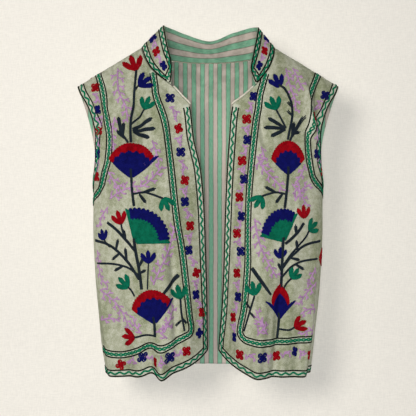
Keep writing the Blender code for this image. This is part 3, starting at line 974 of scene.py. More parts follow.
@dataclass(frozen=True)
class Corolla:
    """A large fan-shaped flower: rows spread from its foot, the body first and then the rim.

    Attributes:
        height: from foot to top.
        half_angle: how far it opens to each side, in degrees.
        body: the silk of its body.
        rim: the silk of its rim.
        rim_depth: the rim's depth at its middle.
        step_down: how much deeper the rim is at its sides.
        tooth: the height of the body's teeth in the rim.
        lump: the length of a scallop along the rim.
        scallop: its height.
        droop: how much lower the flower is at its sides, as a share of its height.
        flare: how much its sides bow out below the rim, or in where it is negative.
        horns: how far the outermost rows run past the rim on the left and on the right.
        horn_width: how much of the fan belongs to each horn.
        squeeze: its width as a share of the fan's own.
        crown: the power of its top's curve: 1 is a peak, higher is rounder.
    """

    height: float
    half_angle: float
    body: Silk
    rim: Silk
    rim_depth: float = 14.0
    step_down: float = 0.0
    tooth: float = 4.0
    lump: float = 5.0
    scallop: float = 1.6
    droop: float = 0.16
    flare: float = 0.2
    horns: tuple[float, float] = (0.0, 0.0)
    horn_width: float = 0.1
    squeeze: float = 1.0
    crown: float = 1.6

    def work(self, needle: Needlework, patch: Patch, foot: Array, turn: float) -> None:
        """Works the flower on a panel.

        A row is the curve (r sin a, r cos a) with a = its lane times the half angle, which is wider or
        narrower near the foot. Rows start further out the finer they divide the fan, so they don't crowd.

        Args:
            needle: where the rows go.
            patch: the panel.
            foot: the flat place of its foot.
            turn: how far it leans clockwise, in degrees.
        """
        spread = np.radians(self.half_angle)
        count = 8 * round(self.height * spread / 1.7 / 4)
        for i in range(count + 1):
            lane = 2 * i / count - 1
            start = ROW_STARTS[0 if i % 8 == 0 else 1 if i % 4 == 0 else 2 if i % 2 == 0 else 3]
            beat = abs(np.cos(np.pi * lane * self.height * spread / self.lump))
            top = self.height * (1 - self.droop * abs(lane) ** self.crown) + self.scallop * (beat - 0.5)
            tooth = self.tooth * (2 * abs((3.2 * lane + 0.5) % 1 - 0.5) - 0.5)
            edge = top - self.rim_depth - self.step_down * abs(lane) ** 1.2 + tooth
            horn = self.horns[int(lane > 0)]
            outward = (abs(lane) - 1) / self.horn_width + 1
            horned = outward > 0 and horn > 0
            body_end = top + horn * outward if horned else edge
            for silk, low, high in ((self.body, start, body_end), (self.rim, max(edge, start), top)):
                if high - low < 2.0 or (silk is self.rim and horned):
                    continue
                r = np.linspace(low, high, 24)
                angle = lane * spread * (1 + self.flare * (1 - r / self.height))
                path = np.column_stack([r * np.sin(angle), r * np.cos(angle)])
                share = 8.0 / 2 ** np.searchsorted(ROW_STARTS[1:], r, side="right")
                broad = np.clip(r * spread * 2 / count * share * 1.65, 2.5, 4.8)
                lift = 0.4 if silk is self.rim else 0.2
                needle.sew(silk, patch, foot + turned(path, turn) * [self.squeeze, 1.0], broad, lift)


def tulip(needle: Needlework, patch: Patch, silk: Silk, base: Array, turn: float, size: float) -> None:
    """A three-petalled bud: a straight petal between two that splay and bow outwards.

    Args:
        needle: where the rows go.
        patch: the panel.
        silk: its thread.
        base: the flat place where its stalk ends.
        turn: how far it leans clockwise, in degrees.
        size: its length.
    """
    for splay, share, bend in ((-34.0, 0.95, 1.8), (34.0, 0.95, -1.8), (0.0, 1.0, 0.0)):
        tip = turned(np.array([[0.0, size * share]]), splay)[0]
        for path in petal(np.zeros(2), tip, 3.0 + size * 0.21, 5, bend):
            needle.sew(silk, patch, base + turned(path, turn), 2.9, 0.15)


def blossom(
    needle: Needlework, patch: Patch, silk: Silk, centre: Array, turn: float, squeeze: float
) -> None:
    """A border flower: four round petals set crosswise, each a spiral row, and a knot between them.

    Args:
        needle: where the rows go.
        patch: the panel.
        silk: its thread.
        centre: its flat place.
        turn: how far it is turned, in degrees.
        squeeze: its width as a share of its height.
    """
    t = np.linspace(0.0, 1.0, 26)
    spiral = np.column_stack([np.cos(12.0 * t), np.sin(12.0 * t)]) * (0.4 + 4.1 * t[:, None])
    for quarter_turn in (45.0, 135.0, 225.0, 315.0):
        lobe = turned(spiral + [0.0, 5.6], quarter_turn + turn) * [squeeze, 1.0]
        needle.sew(silk, patch, centre + lobe, 3.1)
    needle.sew(silk, patch, centre + spiral * 0.7, 2.5)


def vine(needle: Needlework, patch: Patch, points: Array, twig: float, gap: float = 7.2) -> None:
    """A lilac spray: a stem with curved twigs that leave it alternately to the left and the right.

    Args:
        needle: where the rows go.
        patch: the panel.
        points: the flat points that its stem runs through.
        twig: the length of its longest twigs.
        gap: the distance between twigs.
    """
    spine = rounded(points)
    needle.sew(Silk.LILAC, patch, spine, 3.8, -0.2)
    run = run_of(spine)
    for k, at in enumerate(np.arange(gap * 0.5, run[-1], gap)):
        i = int(np.searchsorted(run, at))
        along = spine[min(i + 1, len(spine) - 1)] - spine[max(i - 1, 0)]
        way = 1 if k % 2 else -1
        ahead = along / np.linalg.norm(along) * twig * (1.0 - 0.3 * at / run[-1]) * (1.0 if k % 3 else 0.8)
        elbow = spine[i] + turned(ahead[None] * 0.5, way * 66.0)[0]
        tip = elbow + turned(ahead[None] * 0.55, way * 30.0)[0]
        needle.sew(Silk.LILAC, patch, rounded(np.array([spine[i], elbow, tip])), 3.7, -0.2)
        if twig > 9.0 and k % 3:
            fork = elbow + turned(ahead[None] * 0.4, way * 100.0)[0]
            needle.sew(Silk.LILAC, patch, np.array([elbow, fork]), 3.5, -0.2)


def stem(needle: Needlework, patch: Patch, points: Array, width: float, lift: float) -> None:
    """A slate stem: side-by-side rows along a rounded curve through flat points."""
    centre = rounded(points)
    rows = max(1, round(width / 2.0))
    for lane in range(rows):
        offset = (lane - (rows - 1) / 2) * width / rows
        needle.sew(Silk.SLATE, patch, beside(centre, offset), width / rows * 1.6, lift)


def leaf(needle: Needlework, patch: Patch, base: Array, tip: Array, width: float) -> None:
    """A slate leaf: a club of rows from its base to its tip."""
    for path in petal(base, tip, width, max(2, round(width / 1.8))):
        needle.sew(Silk.SLATE, patch, path, 2.6, 0.15)


# --- What is embroidered where ------------------------------------------------------------------------

WIDE_CARNATION = Corolla(62.0, 49.0, Silk.BLUE, Silk.RED, 15.0, -6.0, horns=(0.0, 9.0))
ROUND_CARNATION = Corolla(59.0, 49.0, Silk.BLUE, Silk.RED, 18.0, -7.0, droop=0.24, squeeze=0.82)
LOW_CARNATION = Corolla(60.0, 46.0, Silk.BLUE, Silk.RED, 15.0, -4.0, droop=0.2, flare=0.1, horns=(0.0, 8.0))
LILY = Corolla(
    63.0, 43.0, Silk.BLUE, Silk.RED, 16.0, -14.0, 0.0, 5.0, 1.0, 0.62, -0.35, (20.0, 20.0), 0.22, crown=1.05
)
FAN = Corolla(62.0, 52.0, Silk.GREEN, Silk.BLUE, 19.0, 0.0, 0.0, 8.0, 3.4, 0.04, 0.0, (1.0, 1.0))
NARROW_FAN = Corolla(
    58.0, 55.0, Silk.GREEN, Silk.BLUE, 19.0, 0.0, 3.0, 8.0, 3.0, 0.05, 0.0, (1.0, 1.0), squeeze=0.76
)


@dataclass(frozen=True)
class Plant:
    """The plant of one front, in face-on (reach, height).

    Attributes:
        corollas: flower, place of its foot, and how far it leans to the centre line, in degrees.
        stems: width, then the points it runs through.
        leaves: width, base and tip.
        tulips: silk, base and tip.
        vines: length of the longest twigs, then the points the spray runs through.
    """

    corollas: tuple[tuple[Corolla, Point, float], ...]
    stems: tuple[tuple[float, tuple[Point, ...]], ...]
    leaves: tuple[tuple[float, Point, Point], ...]
    tulips: tuple[tuple[Silk, Point, Point], ...]
    vines: tuple[tuple[float, tuple[Point, ...]], ...]

    def work(self, needle: Needlework, patch: Patch, side: int, shift: float = 0.0) -> None:
        """Works the whole plant on a panel.

        Args:
            needle: where the rows go.
            patch: the panel.
            side: the sign of X on which it grows.
            shift: how much nearer the centre line it is set.
        """

        def flat(points: tuple[Point, ...]) -> Array:
            """Flat places of face-on ones."""
            seen = (np.array(points, float) - [shift, 0.0]) * [side, 1.0]
            return patch.flat(seen)

        for twig, points in self.vines:
            vine(needle, patch, flat(points), twig * 1.2)
        for flower, foot, lean in self.corollas:
            flower.work(needle, patch, flat((foot,))[0], -side * lean)
        for width, points in self.stems:
            stem(needle, patch, flat(points), width, 0.45 if width > 3.5 else 0.2)
        for width, base, tip in self.leaves:
            leaf(needle, patch, *flat((base, tip)), width)
        for silk, base, tip in self.tulips:
            start, end = flat((base, tip))
            away = end - start
            turn = float(np.degrees(np.arctan2(away[0], away[1])))
            tulip(needle, patch, silk, start, turn, float(np.hypot(*away)) * 0.96)


LEFT_PLANT = Plant(
    corollas=(
        (WIDE_CARNATION, (132, -237), 2.0), (FAN, (126, -349), 37.0), (LOW_CARNATION, (91, -488), -10.0),
    ),
    stems=(
        (3.8, ((134, -174), (134, -140), (130, -103), (127, -67), (126, -46))),
        (2.6, ((128, -84), (124, -78), (120, -74))),
        (2.6, ((134, -144), (120, -128), (110, -116))),
        (4.2, ((133, -220), (132, -236), (130, -262), (127, -285))),
        (4.6, ((127, -340), (126, -352), (123, -370), (118, -396), (114, -428))),
        (4.0, ((94, -474), (92, -488), (91, -510))),
        (2.8, ((129, -264), (110, -261), (95, -265), (76, -272))),
        (4.4, ((125, -362), (140, -345), (158, -326), (175, -313))),
        (2.6, ((150, -314), (149, -322), (145, -336))),
        (4.2, ((118, -411), (135, -385), (157, -362), (178, -350), (198, -345))),
        (2.6, ((182, -342), (178, -349), (170, -356))),
        (2.8, ((118, -404), (140, -390), (165, -385), (194, -385))),
        (2.0, ((102, -382), (103, -400), (104, -428))),
        (2.6, ((138, -424), (132, -430), (126, -440))),
        (2.6, ((47, -444), (45, -470), (40, -501))),
        (2.6, ((127, -511), (110, -508), (91, -508))),
        (3.4, ((138, -175), (144, -166), (150, -158))),
    ),
    leaves=(
        (6.5, (143, -168), (159, -153)), (6.5, (147, -162), (146, -139)), (6.5, (150, -160), (156, -128)),
        (7.0, (131, -151), (94, -131)), (7.0, (131, -153), (88, -151)), (7.0, (130, -155), (99, -168)),
        (5.5, (114, -262), (89, -254)), (5.5, (118, -264), (106, -280)), (5.5, (142, -344), (146, -325)),
        (5.0, (159, -362), (155, -341)), (5.0, (152, -366), (167, -378)), (5.0, (140, -378), (143, -356)),
        (5.0, (146, -388), (163, -397)), (5.0, (119, -390), (110, -372)), (5.0, (117, -400), (106, -394)),
        (6.5, (79, -438), (48, -401)), (4.0, (45, -482), (54, -494)), (4.0, (44, -478), (36, -489)),
    ),
    tulips=(
        (Silk.RED, (127, -46), (139, -14)), (Silk.BLUE, (120, -75), (98, -57)),
        (Silk.GREEN, (110, -116), (101, -93)), (Silk.GREEN, (76, -271), (66, -294)),
        (Silk.RED, (150, -315), (158, -291)), (Silk.BLUE, (182, -343), (187, -324)),
        (Silk.BLUE, (102, -382), (103, -359)), (Silk.GREEN, (138, -425), (156, -407)),
        (Silk.GREEN, (47, -444), (52, -419)), (Silk.RED, (127, -511), (153, -511)),
    ),
    vines=(
        (13.0, ((160, -40), (157, -80), (143, -112), (139, -140))),
        (13.0, ((171, -272), (150, -259), (128, -251), (112, -250), (95, -236), (78, -216))),
        (12.0, ((174, -224), (161, -244), (149, -259))),
        (9.0, ((174, -286), (184, -300), (193, -322))),
        (13.0, ((94, -420), (84, -396), (66, -358), (57, -318))),
        (12.0, ((187, -430), (166, -447), (150, -468), (136, -496))),
        (9.0, ((184, -484), (168, -480), (154, -485))),
        (11.0, ((76, -502), (66, -482), (57, -456))),
        (10.0, ((70, -512), (84, -498), (66, -490))),
        (10.0, ((194, -362), (187, -405), (174, -424))),
        (9.0, ((162, -130), (166, -160), (162, -190))),
        (9.0, ((96, -172), (88, -196), (84, -214))),
        (9.0, ((112, -218), (100, -206), (88, -198))),
        (9.0, ((114, -505), (124, -490), (129, -474))),
    ),
)

RIGHT_PLANT = Plant(
    corollas=(
        (ROUND_CARNATION, (138, -231), 0.0), (NARROW_FAN, (132, -347), 24.0), (LILY, (125, -482), 0.0),
    ),
    stems=(
        (3.6, ((138, -170), (141, -154), (146, -128), (144, -102), (135, -82), (123, -72))),
        (2.6, ((118, -117), (128, -136), (135, -150))),
        (4.2, ((138, -216), (138, -231), (135, -262), (132, -288))),
        (4.6, ((130, -338), (129, -352), (128, -388), (127, -426))),
        (4.0, ((123, -468), (124, -481), (121, -512))),
        (2.8, ((134, -264), (117, -261), (104, -264), (92, -268))),
        (4.4, ((133, -350), (146, -339), (158, -326), (166, -314))),
        (2.6, ((176, -327), (168, -341), (146, -364), (131, -386))),
        (3.8, ((129, -392), (145, -370), (170, -352), (197, -346))),
        (2.8, ((128, -408), (145, -388), (165, -380), (192, -377))),
        (2.6, ((144, -409), (136, -418), (130, -430))),
        (2.6, ((80, -438), (72, -465), (62, -500))),
        (2.6, ((150, -494), (140, -498), (123, -497))),
        (3.4, ((141, -175), (143, -168), (146, -160))),
    ),
    leaves=(
        (6.5, (134, -150), (102, -131)), (6.5, (134, -151), (95, -148)), (6.5, (134, -152), (107, -165)),
        (6.0, (144, -166), (166, -128)), (6.0, (145, -162), (149, -139)), (6.0, (147, -160), (160, -156)),
        (4.5, (146, -114), (137, -101)), (4.5, (145, -128), (136, -117)),
        (5.5, (118, -262), (97, -251)), (5.5, (128, -264), (116, -280)), (5.5, (152, -333), (151, -316)),
        (5.0, (154, -362), (152, -343)), (5.0, (142, -374), (159, -378)), (5.0, (150, -385), (167, -395)),
        (6.5, (108, -437), (73, -388)), (4.0, (73, -461), (64, -449)), (4.0, (71, -466), (82, -478)),
        (5.0, (128, -398), (120, -382)),
    ),
    tulips=(
        (Silk.BLUE, (125, -76), (115, -52)), (Silk.GREEN, (118, -117), (108, -92)),
        (Silk.GREEN, (92, -268), (79, -289)), (Silk.RED, (167, -305), (165, -281)),
        (Silk.GREEN, (176, -327), (192, -312)), (Silk.BLUE, (124, -374), (125, -354)),
        (Silk.GREEN, (144, -409), (157, -391)), (Silk.GREEN, (80, -437), (75, -412)),
        (Silk.RED, (150, -494), (169, -483)), (Silk.RED, (196, -377), (205, -374)),
    ),
    vines=(
        (11.0, ((137, -42), (143, -72), (151, -98), (152, -120))),
        (13.0, ((84, -198), (97, -222), (117, -242), (129, -258))),
        (12.0, ((145, -246), (160, -264), (174, -286))),
        (11.0, ((150, -276), (163, -256), (180, -246))),
        (13.0, ((80, -306), (86, -340), (98, -372), (119, -408))),
        (11.0, ((190, -418), (172, -434), (156, -456))),
        (10.0, ((188, -466), (173, -464), (160, -472))),
        (11.0, ((102, -504), (90, -484), (82, -462))),
        (9.0, ((188, -505), (172, -500), (160, -508))),
        (9.0, ((84, -504), (96, -488), (80, -480))),
        (9.0, ((92, -182), (96, -200), (90, -216))),
        (9.0, ((168, -212), (160, -232), (150, -246))),
        (9.0, ((150, -40), (158, -62), (164, -84))),
        (9.0, ((188, -392), (180, -410), (172, -420))),
    ),
)

# The inner border braid of each front, from the collar down its panel and along above its hem.
INNER_BRAID = {
    Side.LEFT: (
        (97, -50), (93, -72), (90, -94), (75, -139), (66, -201), (54, -305), (44, -366), (33, -467),
        (29, -494), (31, -505), (40, -511), (66, -525), (83, -528), (97, -527), (120, -534), (152, -543),
        (184, -536),
    ),
    Side.RIGHT: (
        (97, -52), (91, -88), (87, -115), (81, -153), (71, -257), (68, -340), (68, -388), (63, -455),
        (56, -494), (57, -507), (67, -515), (90, -517), (125, -518), (182, -515),
    ),
}
ARMHOLE_BRAID = {
    Side.LEFT: (
        (198, -44), (186, -79), (179, -121), (171, -161), (172, -196), (177, -220), (191, -258), (206, -279),
    ),
    Side.RIGHT: (
        (198, -46), (184, -78), (176, -102), (174, -148), (173, -181), (178, -218), (188, -242), (206, -266),
    ),
}

# Border flowers along each front, its hem and its armhole, face-on: reach, height, turn and width as a share
# of height. Red and blue take turns, from the first silk of each border.
BORDER_FLOWERS = {
    Side.LEFT: (
        (
            (66, -97, 8, 1.0), (51, -150, -20, 0.85), (47, -191, 5, 1.0), (40, -240, 15, 0.95),
            (40, -277, 0, 0.9), (31, -319, 5, 0.9), (33, -361, 0, 0.85), (20, -401, 25, 0.9),
            (21, -439, 0, 0.85), (11, -471, 10, 0.8), (15, -507, 45, 0.8),
        ),
        (
            (37, -536, 0, 0.9), (65, -543, 10, 1.0), (89, -552, 0, 0.35), (113, -547, 20, 1.0),
            (152, -560, 30, 0.9),
        ),
        (
            (199, -75, 0, 0.95), (195, -115, 0, 0.5), (191, -153, 0, 0.9), (193, -193, 10, 0.85),
            (195, -233, 5, 0.9),
        ),
    ),
    Side.RIGHT: (
        (
            (79, -94, 10, 0.8), (67, -134, 3, 1.0), (68, -170, 8, 0.9), (59, -206, 0, 1.0),
            (62, -238, 0, 0.9), (54, -269, 0, 0.95), (57, -302, 12, 0.85), (50, -332, 0, 0.95),
            (56, -363, 0, 0.95), (50, -401, 0, 0.9), (52, -442, 8, 0.85), (44, -478, 0, 0.75),
            (46, -512, 10, 0.5),
        ),
        (
            (55, -540, 8, 0.9), (93, -539, 5, 1.0), (119, -542, 0, 0.8), (150, -536, 20, 0.55),
            (171, -543, 0, 0.6),
        ),
        ((207, -89, 15, 0.9), (185, -127, 0, 0.8), (190, -194, 10, 0.9), (200, -224, 0, 0.6)),
    ),
}
FIRST_SILK = {Side.LEFT: (Silk.BLUE, Silk.RED, Silk.RED), Side.RIGHT: (Silk.BLUE, Silk.RED, Silk.BLUE)}


def border(needle: Needlework, patch: Patch, flowers: Array, first: Silk) -> None:
    """A border's flowers, red and blue in turn, with a small lilac spray from each towards the next.

    Args:
        needle: where the rows go.
        patch: the panel.
        flowers: across, up, turn and squeeze of each.
        first: the silk of the first flower.
    """
    other = Silk.RED if first is Silk.BLUE else Silk.BLUE
    for k, (across, up, turn, squeeze) in enumerate(flowers):
        blossom(needle, patch, other if k % 2 else first, np.array([across, up]), turn, squeeze)
    for k, (here, there) in enumerate(zip(flowers[:-1, :2], flowers[1:, :2])):
        away = there - here
        left = np.array([-away[1], away[0]]) / np.hypot(*away) * (6.0 if k % 2 else -6.0)
        points = [here + away * 0.27 + left, here + away * 0.5 - left * 0.6, here + away * 0.72 + left * 0.5]
        vine(needle, patch, np.array(points), 9.0, 6.0)


def evenly(path: Array, gap: float) -> Array:
    """Border flowers at even distances along a flat path, as across, up, turn and squeeze."""
    count = max(1, round(float(run_of(path)[-1]) / gap))
    places = spaced(path, 2 * count)[1::2]
    return np.column_stack([places, np.arange(len(places)) * 7.0 % 20, np.ones(len(places))])


# --- Finishes -----------------------------------------------------------------------------------------


class Socket:
    """A node's output, with arithmetic that adds Math nodes."""

    def __init__(self, sheet: Shader, link: bpy.types.NodeSocket) -> None:
        """Wraps an output of a node in a material."""
        self.sheet, self.link = sheet, link

    def maths(self, operation: str, *others: Socket | float) -> Socket:
        """A Math node of this value and up to two others."""
        values = dict(enumerate((self, *others)))
        return self.sheet.node("ShaderNodeMath", {"operation": operation}, values)

    def __add__(self, other: Socket | float) -> Socket:
        """Sum."""
        return self.maths("ADD", other)

    def __sub__(self, other: Socket | float) -> Socket:
        """Difference."""
        return self.maths("SUBTRACT", other)

    def __rsub__(self, other: float) -> Socket:
        """Difference from a number."""
        return self.sheet.node("ShaderNodeMath", {"operation": "SUBTRACT"}, {0: other, 1: self})

    def __mul__(self, other: Socket | float) -> Socket:
        """Product."""
        return self.maths("MULTIPLY", other)

    def __truediv__(self, other: Socket | float) -> Socket:
        """Quotient."""
        return self.maths("DIVIDE", other)

    __radd__ = __add__
    __rmul__ = __mul__

    def step(self, low: float, high: float) -> Socket:
        """0 below low, 1 above high and a smooth rise between them."""
        settings = {"interpolation_type": "SMOOTHSTEP"}
        return self.sheet.node("ShaderNodeMapRange", settings, {0: self, 1: low, 2: high})


class Shader:
    """A material's nodes, built from a Principled shader outwards."""

    def __init__(self, name: str) -> None:
        """Makes the material with its Principled shader.

        Args:
            name: the material's name.
        """
        self.material = bpy.data.materials.new(name)
        self.material.use_nodes = True
        self.tree = self.material.node_tree
        self.surface = self.tree.nodes["Principled BSDF"]

    def node(
        self, kind: str, settings: dict | None = None, values: dict | None = None, out: int | str = 0
    ) -> Socket:
        """Adds a node.

        Args:
            kind: its type.
            settings: its own properties, set first.
            values: what its sockets hold, by name or number: a number, a tuple or another Socket.
            out: which output to return.

        Returns:
            That output.
        """
        made = self.tree.nodes.new(kind)
        for key, value in (settings or {}).items():
            setattr(made, key, value)
        for key, value in (values or {}).items():
            self.fill(made.inputs[key], value)
        return Socket(self, made.outputs[out])

    def fill(self, socket: bpy.types.NodeSocket, value: Socket | float | tuple) -> None:
        """Links a Socket to an input, or sets the input to a number or a tuple."""
        if isinstance(value, Socket):
            self.tree.links.new(value.link, socket)
        else:
            socket.default_value = value

    def blend(self, share: Socket | float, first: Socket | tuple, second: Socket | tuple) -> Socket:
        """A colour between two others."""
        settings = {"data_type": "RGBA", "clamp_factor": True}
        return self.node("ShaderNodeMix", settings, {0: share, 6: first, 7: second}, 2)

    def place(self) -> Socket:
        """The Object coordinates."""
        return self.node("ShaderNodeTexCoord", out="Object")

    def scaled(self, first: Socket, factors: tuple[float, float, float]) -> Socket:
        """A place or a colour with each of its three values multiplied by its own number."""
        return self.node("ShaderNodeVectorMath", {"operation": "MULTIPLY"}, {0: first, 1: factors})

    def noise(self, scale: float, detail: float = 2.0, place: Socket | None = None) -> Socket:
        """Noise between about 0.3 and 0.7, in Object coordinates unless another place is given."""
        place = place or self.place()
        return self.node("ShaderNodeTexNoise", None, {"Vector": place, "Scale": scale, "Detail": detail})

    def flat(self) -> tuple[Socket, Socket]:
        """Across and up in millimetres, from the flat UV map."""
        place = self.node("ShaderNodeUVMap", {"uv_map": "flat"})
        across, up = (self.node("ShaderNodeSeparateXYZ", None, {0: place}, out) for out in (0, 1))
        return across * 100.0, up * 100.0

    def weave(self, pitch: float) -> Socket:
        """The height of a plain weave: the product of two sine waves of the same pitch in millimetres."""
        across, up = self.flat()
        turns = 2 * np.pi / pitch
        return (across * turns).maths("SINE") * (up * turns).maths("SINE")

    def finish(
        self, colour: Socket, roughness: Socket | float, height: Socket, depth: float, sheen: float
    ) -> None:
        """Sets the Principled shader.

        Args:
            colour: base colour.
            roughness: roughness.
            height: what the bump reads, about 0 to 1.
            depth: how deep the bump is, in metres.
            sheen: weight of the sheen.
        """
        self.fill(self.surface.inputs["Base Color"], colour)
        self.fill(self.surface.inputs["Roughness"], roughness)
        self.surface.inputs["Sheen Weight"].default_value = sheen
        self.surface.inputs["Sheen Roughness"].default_value = 0.6
        self.surface.inputs["Specular IOR Level"].default_value = 0.04
        bump = self.node("ShaderNodeBump", None, {"Strength": 0.8, "Distance": depth, "Height": height})
        self.fill(self.surface.inputs["Normal"], bump)


Colour = tuple[float, float, float, float]


@dataclass(frozen=True)
class SageCloth:
    """Plain-woven sage cotton, mottled, with a broad upright mottle that is partly random tone and partly
    painted shade of folds, and paler under the braids.
    """

    light: Colour = (0.505, 0.5, 0.395, 1.0)
    deep: Colour = (0.195, 0.215, 0.115, 1.0)
    braid: Colour = (0.55, 0.57, 0.47, 1.0)

    def material(self) -> bpy.types.Material:
        """The material."""
        shader = Shader("sage_cloth")
        # Painted shade of folds: a broad mottle stretched upright, partly random tone and partly standing in
        # for the soft shading of folds that are not modelled.
        upright_fold_shade_place = shader.scaled(shader.place(), (32.0, 32.0, 7.0))
        mottle_and_fold_shade = shader.noise(1.0, 3.0, upright_fold_shade_place).step(0.38, 0.64)
        patch = shader.noise(130.0, 3.0).step(0.36, 0.64)
        slub = shader.noise(700.0, 2.0).step(0.3, 0.7)
        # The blend towards deep is partly painted fold shade, through the upright mottle, and partly random
        # mottle and slubs.
        colour = shader.blend(mottle_and_fold_shade * 0.42 + patch * 0.3 + slub * 0.42, self.light, self.deep)
        near = shader.node("ShaderNodeAttribute", {"attribute_name": "braid"}, out="Fac")
        colour = shader.blend(near * 0.6, colour, self.braid)
        height = shader.weave(1.1) * 0.5 + slub
        shader.finish(colour, mottle_and_fold_shade * 0.08 + 0.88, height, 0.00025, 0.05)
        return shader.material


@dataclass(frozen=True)
class StripedCotton:
    """Striped lining: green and pinkish beige of one width, dark lines between them, darkened near the neck
    by painted shade and soiling together.

    Attributes:
        green: one stripe.
        beige: the other.
        line: the line where they meet.
        neck_soil_and_shade: what the colour is multiplied by near the neck, as painted shade and soiling
            together.
        period: the width of the two stripes together, in millimetres.
    """

    green: Colour = (0.155, 0.42, 0.26, 1.0)
    beige: Colour = (0.54, 0.44, 0.38, 1.0)
    line: Colour = (0.10, 0.12, 0.085, 1.0)
    neck_soil_and_shade: tuple[float, float, float] = (0.55, 0.58, 0.56)
    period: float = 16.0

    def material(self, upright: bool, phase: float = 0.0) -> bpy.types.Material:
        """The material.

        Args:
            upright: whether the stripes run up the cloth, or round it.
            phase: how far along they start, in millimetres.
        """
        shader = Shader("striped_cotton_upright" if upright else "striped_cotton_round")
        across, up = shader.flat()
        place, along = (across, up) if upright else (up, across)
        waver = shader.noise(30.0, 1.0) * 1.6
        turn = ((place + waver + phase) / self.period).maths("FRACT")
        off = (turn - 0.5).maths("ABSOLUTE")
        stripe = off.step(0.24, 0.26)
        edge = (off - 0.25).maths("ABSOLUTE").step(0.02, 0.055)
        fleck = shader.node("ShaderNodeCombineXYZ", None, {0: place * 1.4, 1: along * 0.12})
        fleck = shader.noise(1.0, 2.0, fleck).step(0.3, 0.7)
        colour = shader.blend(stripe, self.green, self.beige)
        colour = shader.blend((1 - edge) * 0.8, colour, self.line)
        colour = shader.blend(fleck * 0.22, colour, (0.75, 0.72, 0.62, 1.0))
        height = shader.node("ShaderNodeSeparateXYZ", None, {0: shader.place()}, 2)
        # Painted shade and soiling together: the colour is darkened towards the top of the lining, near the
        # neck, in noisy patches.
        darkening_mask = height.step(-0.17, -0.02) * (0.5 + shader.noise(60.0, 3.0).step(0.35, 0.65) * 0.5)
        colour = shader.blend(darkening_mask, colour, shader.scaled(colour, self.neck_soil_and_shade))
        shader.finish(colour, fleck * 0.05 + 0.88, shader.weave(0.9) * 0.4 + fleck, 0.0002, 0.05)
        return shader.material


@dataclass(frozen=True)
class SilkFinish:
    """A chain-stitch silk: its colour, darker in patches and broken by the twist of its strands.

    Attributes:
        name: which silk.
        colour: its colour before it is lightened and darkened.
    """

    name: str
    colour: tuple[float, float, float]

    def material(self) -> bpy.types.Material:
        """The material."""
        shader = Shader(f"silk_{self.name}")
        patches = shader.noise(160.0, 2.0).step(0.3, 0.7)
        strands = shader.noise(1100.0, 1.0).step(0.3, 0.7)
        light = tuple(min(1.0, c * 1.3 + 0.0005) for c in self.colour)
        deep = tuple(c * 0.6 for c in self.colour)
        colour = shader.blend(patches * 0.5 + strands * 0.5, (*light, 1.0), (*deep, 1.0))
        shader.finish(colour, strands * 0.15 + 0.7, strands, 0.0003, 0.0)
        return shader.material


@dataclass(frozen=True)
class EcruPiping:
    """Ecru cotton piping with the slant of a bias-cut twill."""

    light: Colour = (0.76, 0.72, 0.60, 1.0)
    deep: Colour = (0.52, 0.47, 0.36, 1.0)

    def material(self) -> bpy.types.Material:
        """The material."""
        shader = Shader("ecru_piping")
        across, up = shader.flat()
        twill = ((across + up) * 5.2).maths("SINE") * 0.5 + 0.5
        darkening_mask = shader.noise(250.0, 2.0).step(0.3, 0.7)
        colour = shader.blend(darkening_mask * 0.6 + twill * 0.3, self.light, self.deep)
        shader.finish(colour, 0.85, twill, 0.0003, 0.1)
        return shader.material


SILKS = {
    Silk.RED: (0.25, 0.001, 0.005),
    Silk.BLUE: (0.0035, 0.0045, 0.082),
    Silk.GREEN: (0.002, 0.112, 0.06),
    Silk.SLATE: (0.012, 0.018, 0.025),
    Silk.LILAC: (0.40, 0.225, 0.395),
    Silk.OUTLINE: (0.010, 0.014, 0.008),
    Silk.WAVE: (0.004, 0.155, 0.072),
}


# --- Putting it together ------------------------------------------------------------------------------


@dataclass
class Piping:
    """The ecru cord on the plain slant of each front's neckline.

    Attributes:
        radius: the cord's radius.
        sides: how many flat sides its circle has.
    """

    radius: float = PIPING_RADIUS
    sides: int = 14

    def build(self, side: Side, patch: Patch) -> bpy.types.Object:
        """A closed tube beside the slant's edge: a circle carried along it, its two ends drawn in.

        Args:
            side: which front.
            patch: that front.

        Returns:
            The piping as an object.
        """
        edge, next_in = (patch.points[:, c] for c in ((-1, -2) if side is Side.LEFT else (0, 1)))
        chosen = (edge[:, 2] < COLLAR_END_Z) & (edge[:, 2] > NECK_CORNER_Z + 2.0)
        line, toward = edge[chosen], next_in[chosen]
        line = spaced(line + unit(line - toward) * (self.radius + SEAM_GAP + 0.4), 48)
        along = unit(np.gradient(line, axis=0))
        one = unit(np.cross(along, [0.0, 1.0, 0.0]))
        two = np.cross(along, one)
        angle = np.linspace(0, 2 * np.pi, self.sides, endpoint=False)
        share = np.linspace(0.0, 1.0, len(line))
        narrow = np.clip(np.minimum(share, 1 - share) / 0.04, 0.35, 1.0) ** 0.5
        narrow = narrow * (1 + 0.04 * np.sin(np.arange(len(line)) * 1.7))
        circle = np.cos(angle)[:, None] * one[:, None] + np.sin(angle)[:, None] * two[:, None]
        ring = line[:, None] + self.radius * narrow[:, None, None] * circle
        k, after = np.arange(self.sides), np.roll(np.arange(self.sides), -1)
        start = np.arange(len(line) - 1)[:, None] * self.sides
        tube = np.stack([start + k, start + after, start + self.sides + after, start + self.sides + k], 2)
        ends = [k[::-1][None], k[None] + (len(line) - 1) * self.sides]
        made = put(f"piping_{side.name.lower()}", ring.reshape(-1, 3), [tube.reshape(-1, 4), *ends])
        flat = np.stack(np.broadcast_arrays(angle[None] * self.radius, run_of(line)[:, None]), axis=2)
        lay_flat(made, flat.reshape(-1, 2))
        return made


@dataclass(frozen=True)
class Cut:
    """The flat piece that a panel is cut as.

    Attributes:
        flat: its width and height in metres.
        area: its area in square metres.
    """

    flat: tuple[float, float]
    area: float


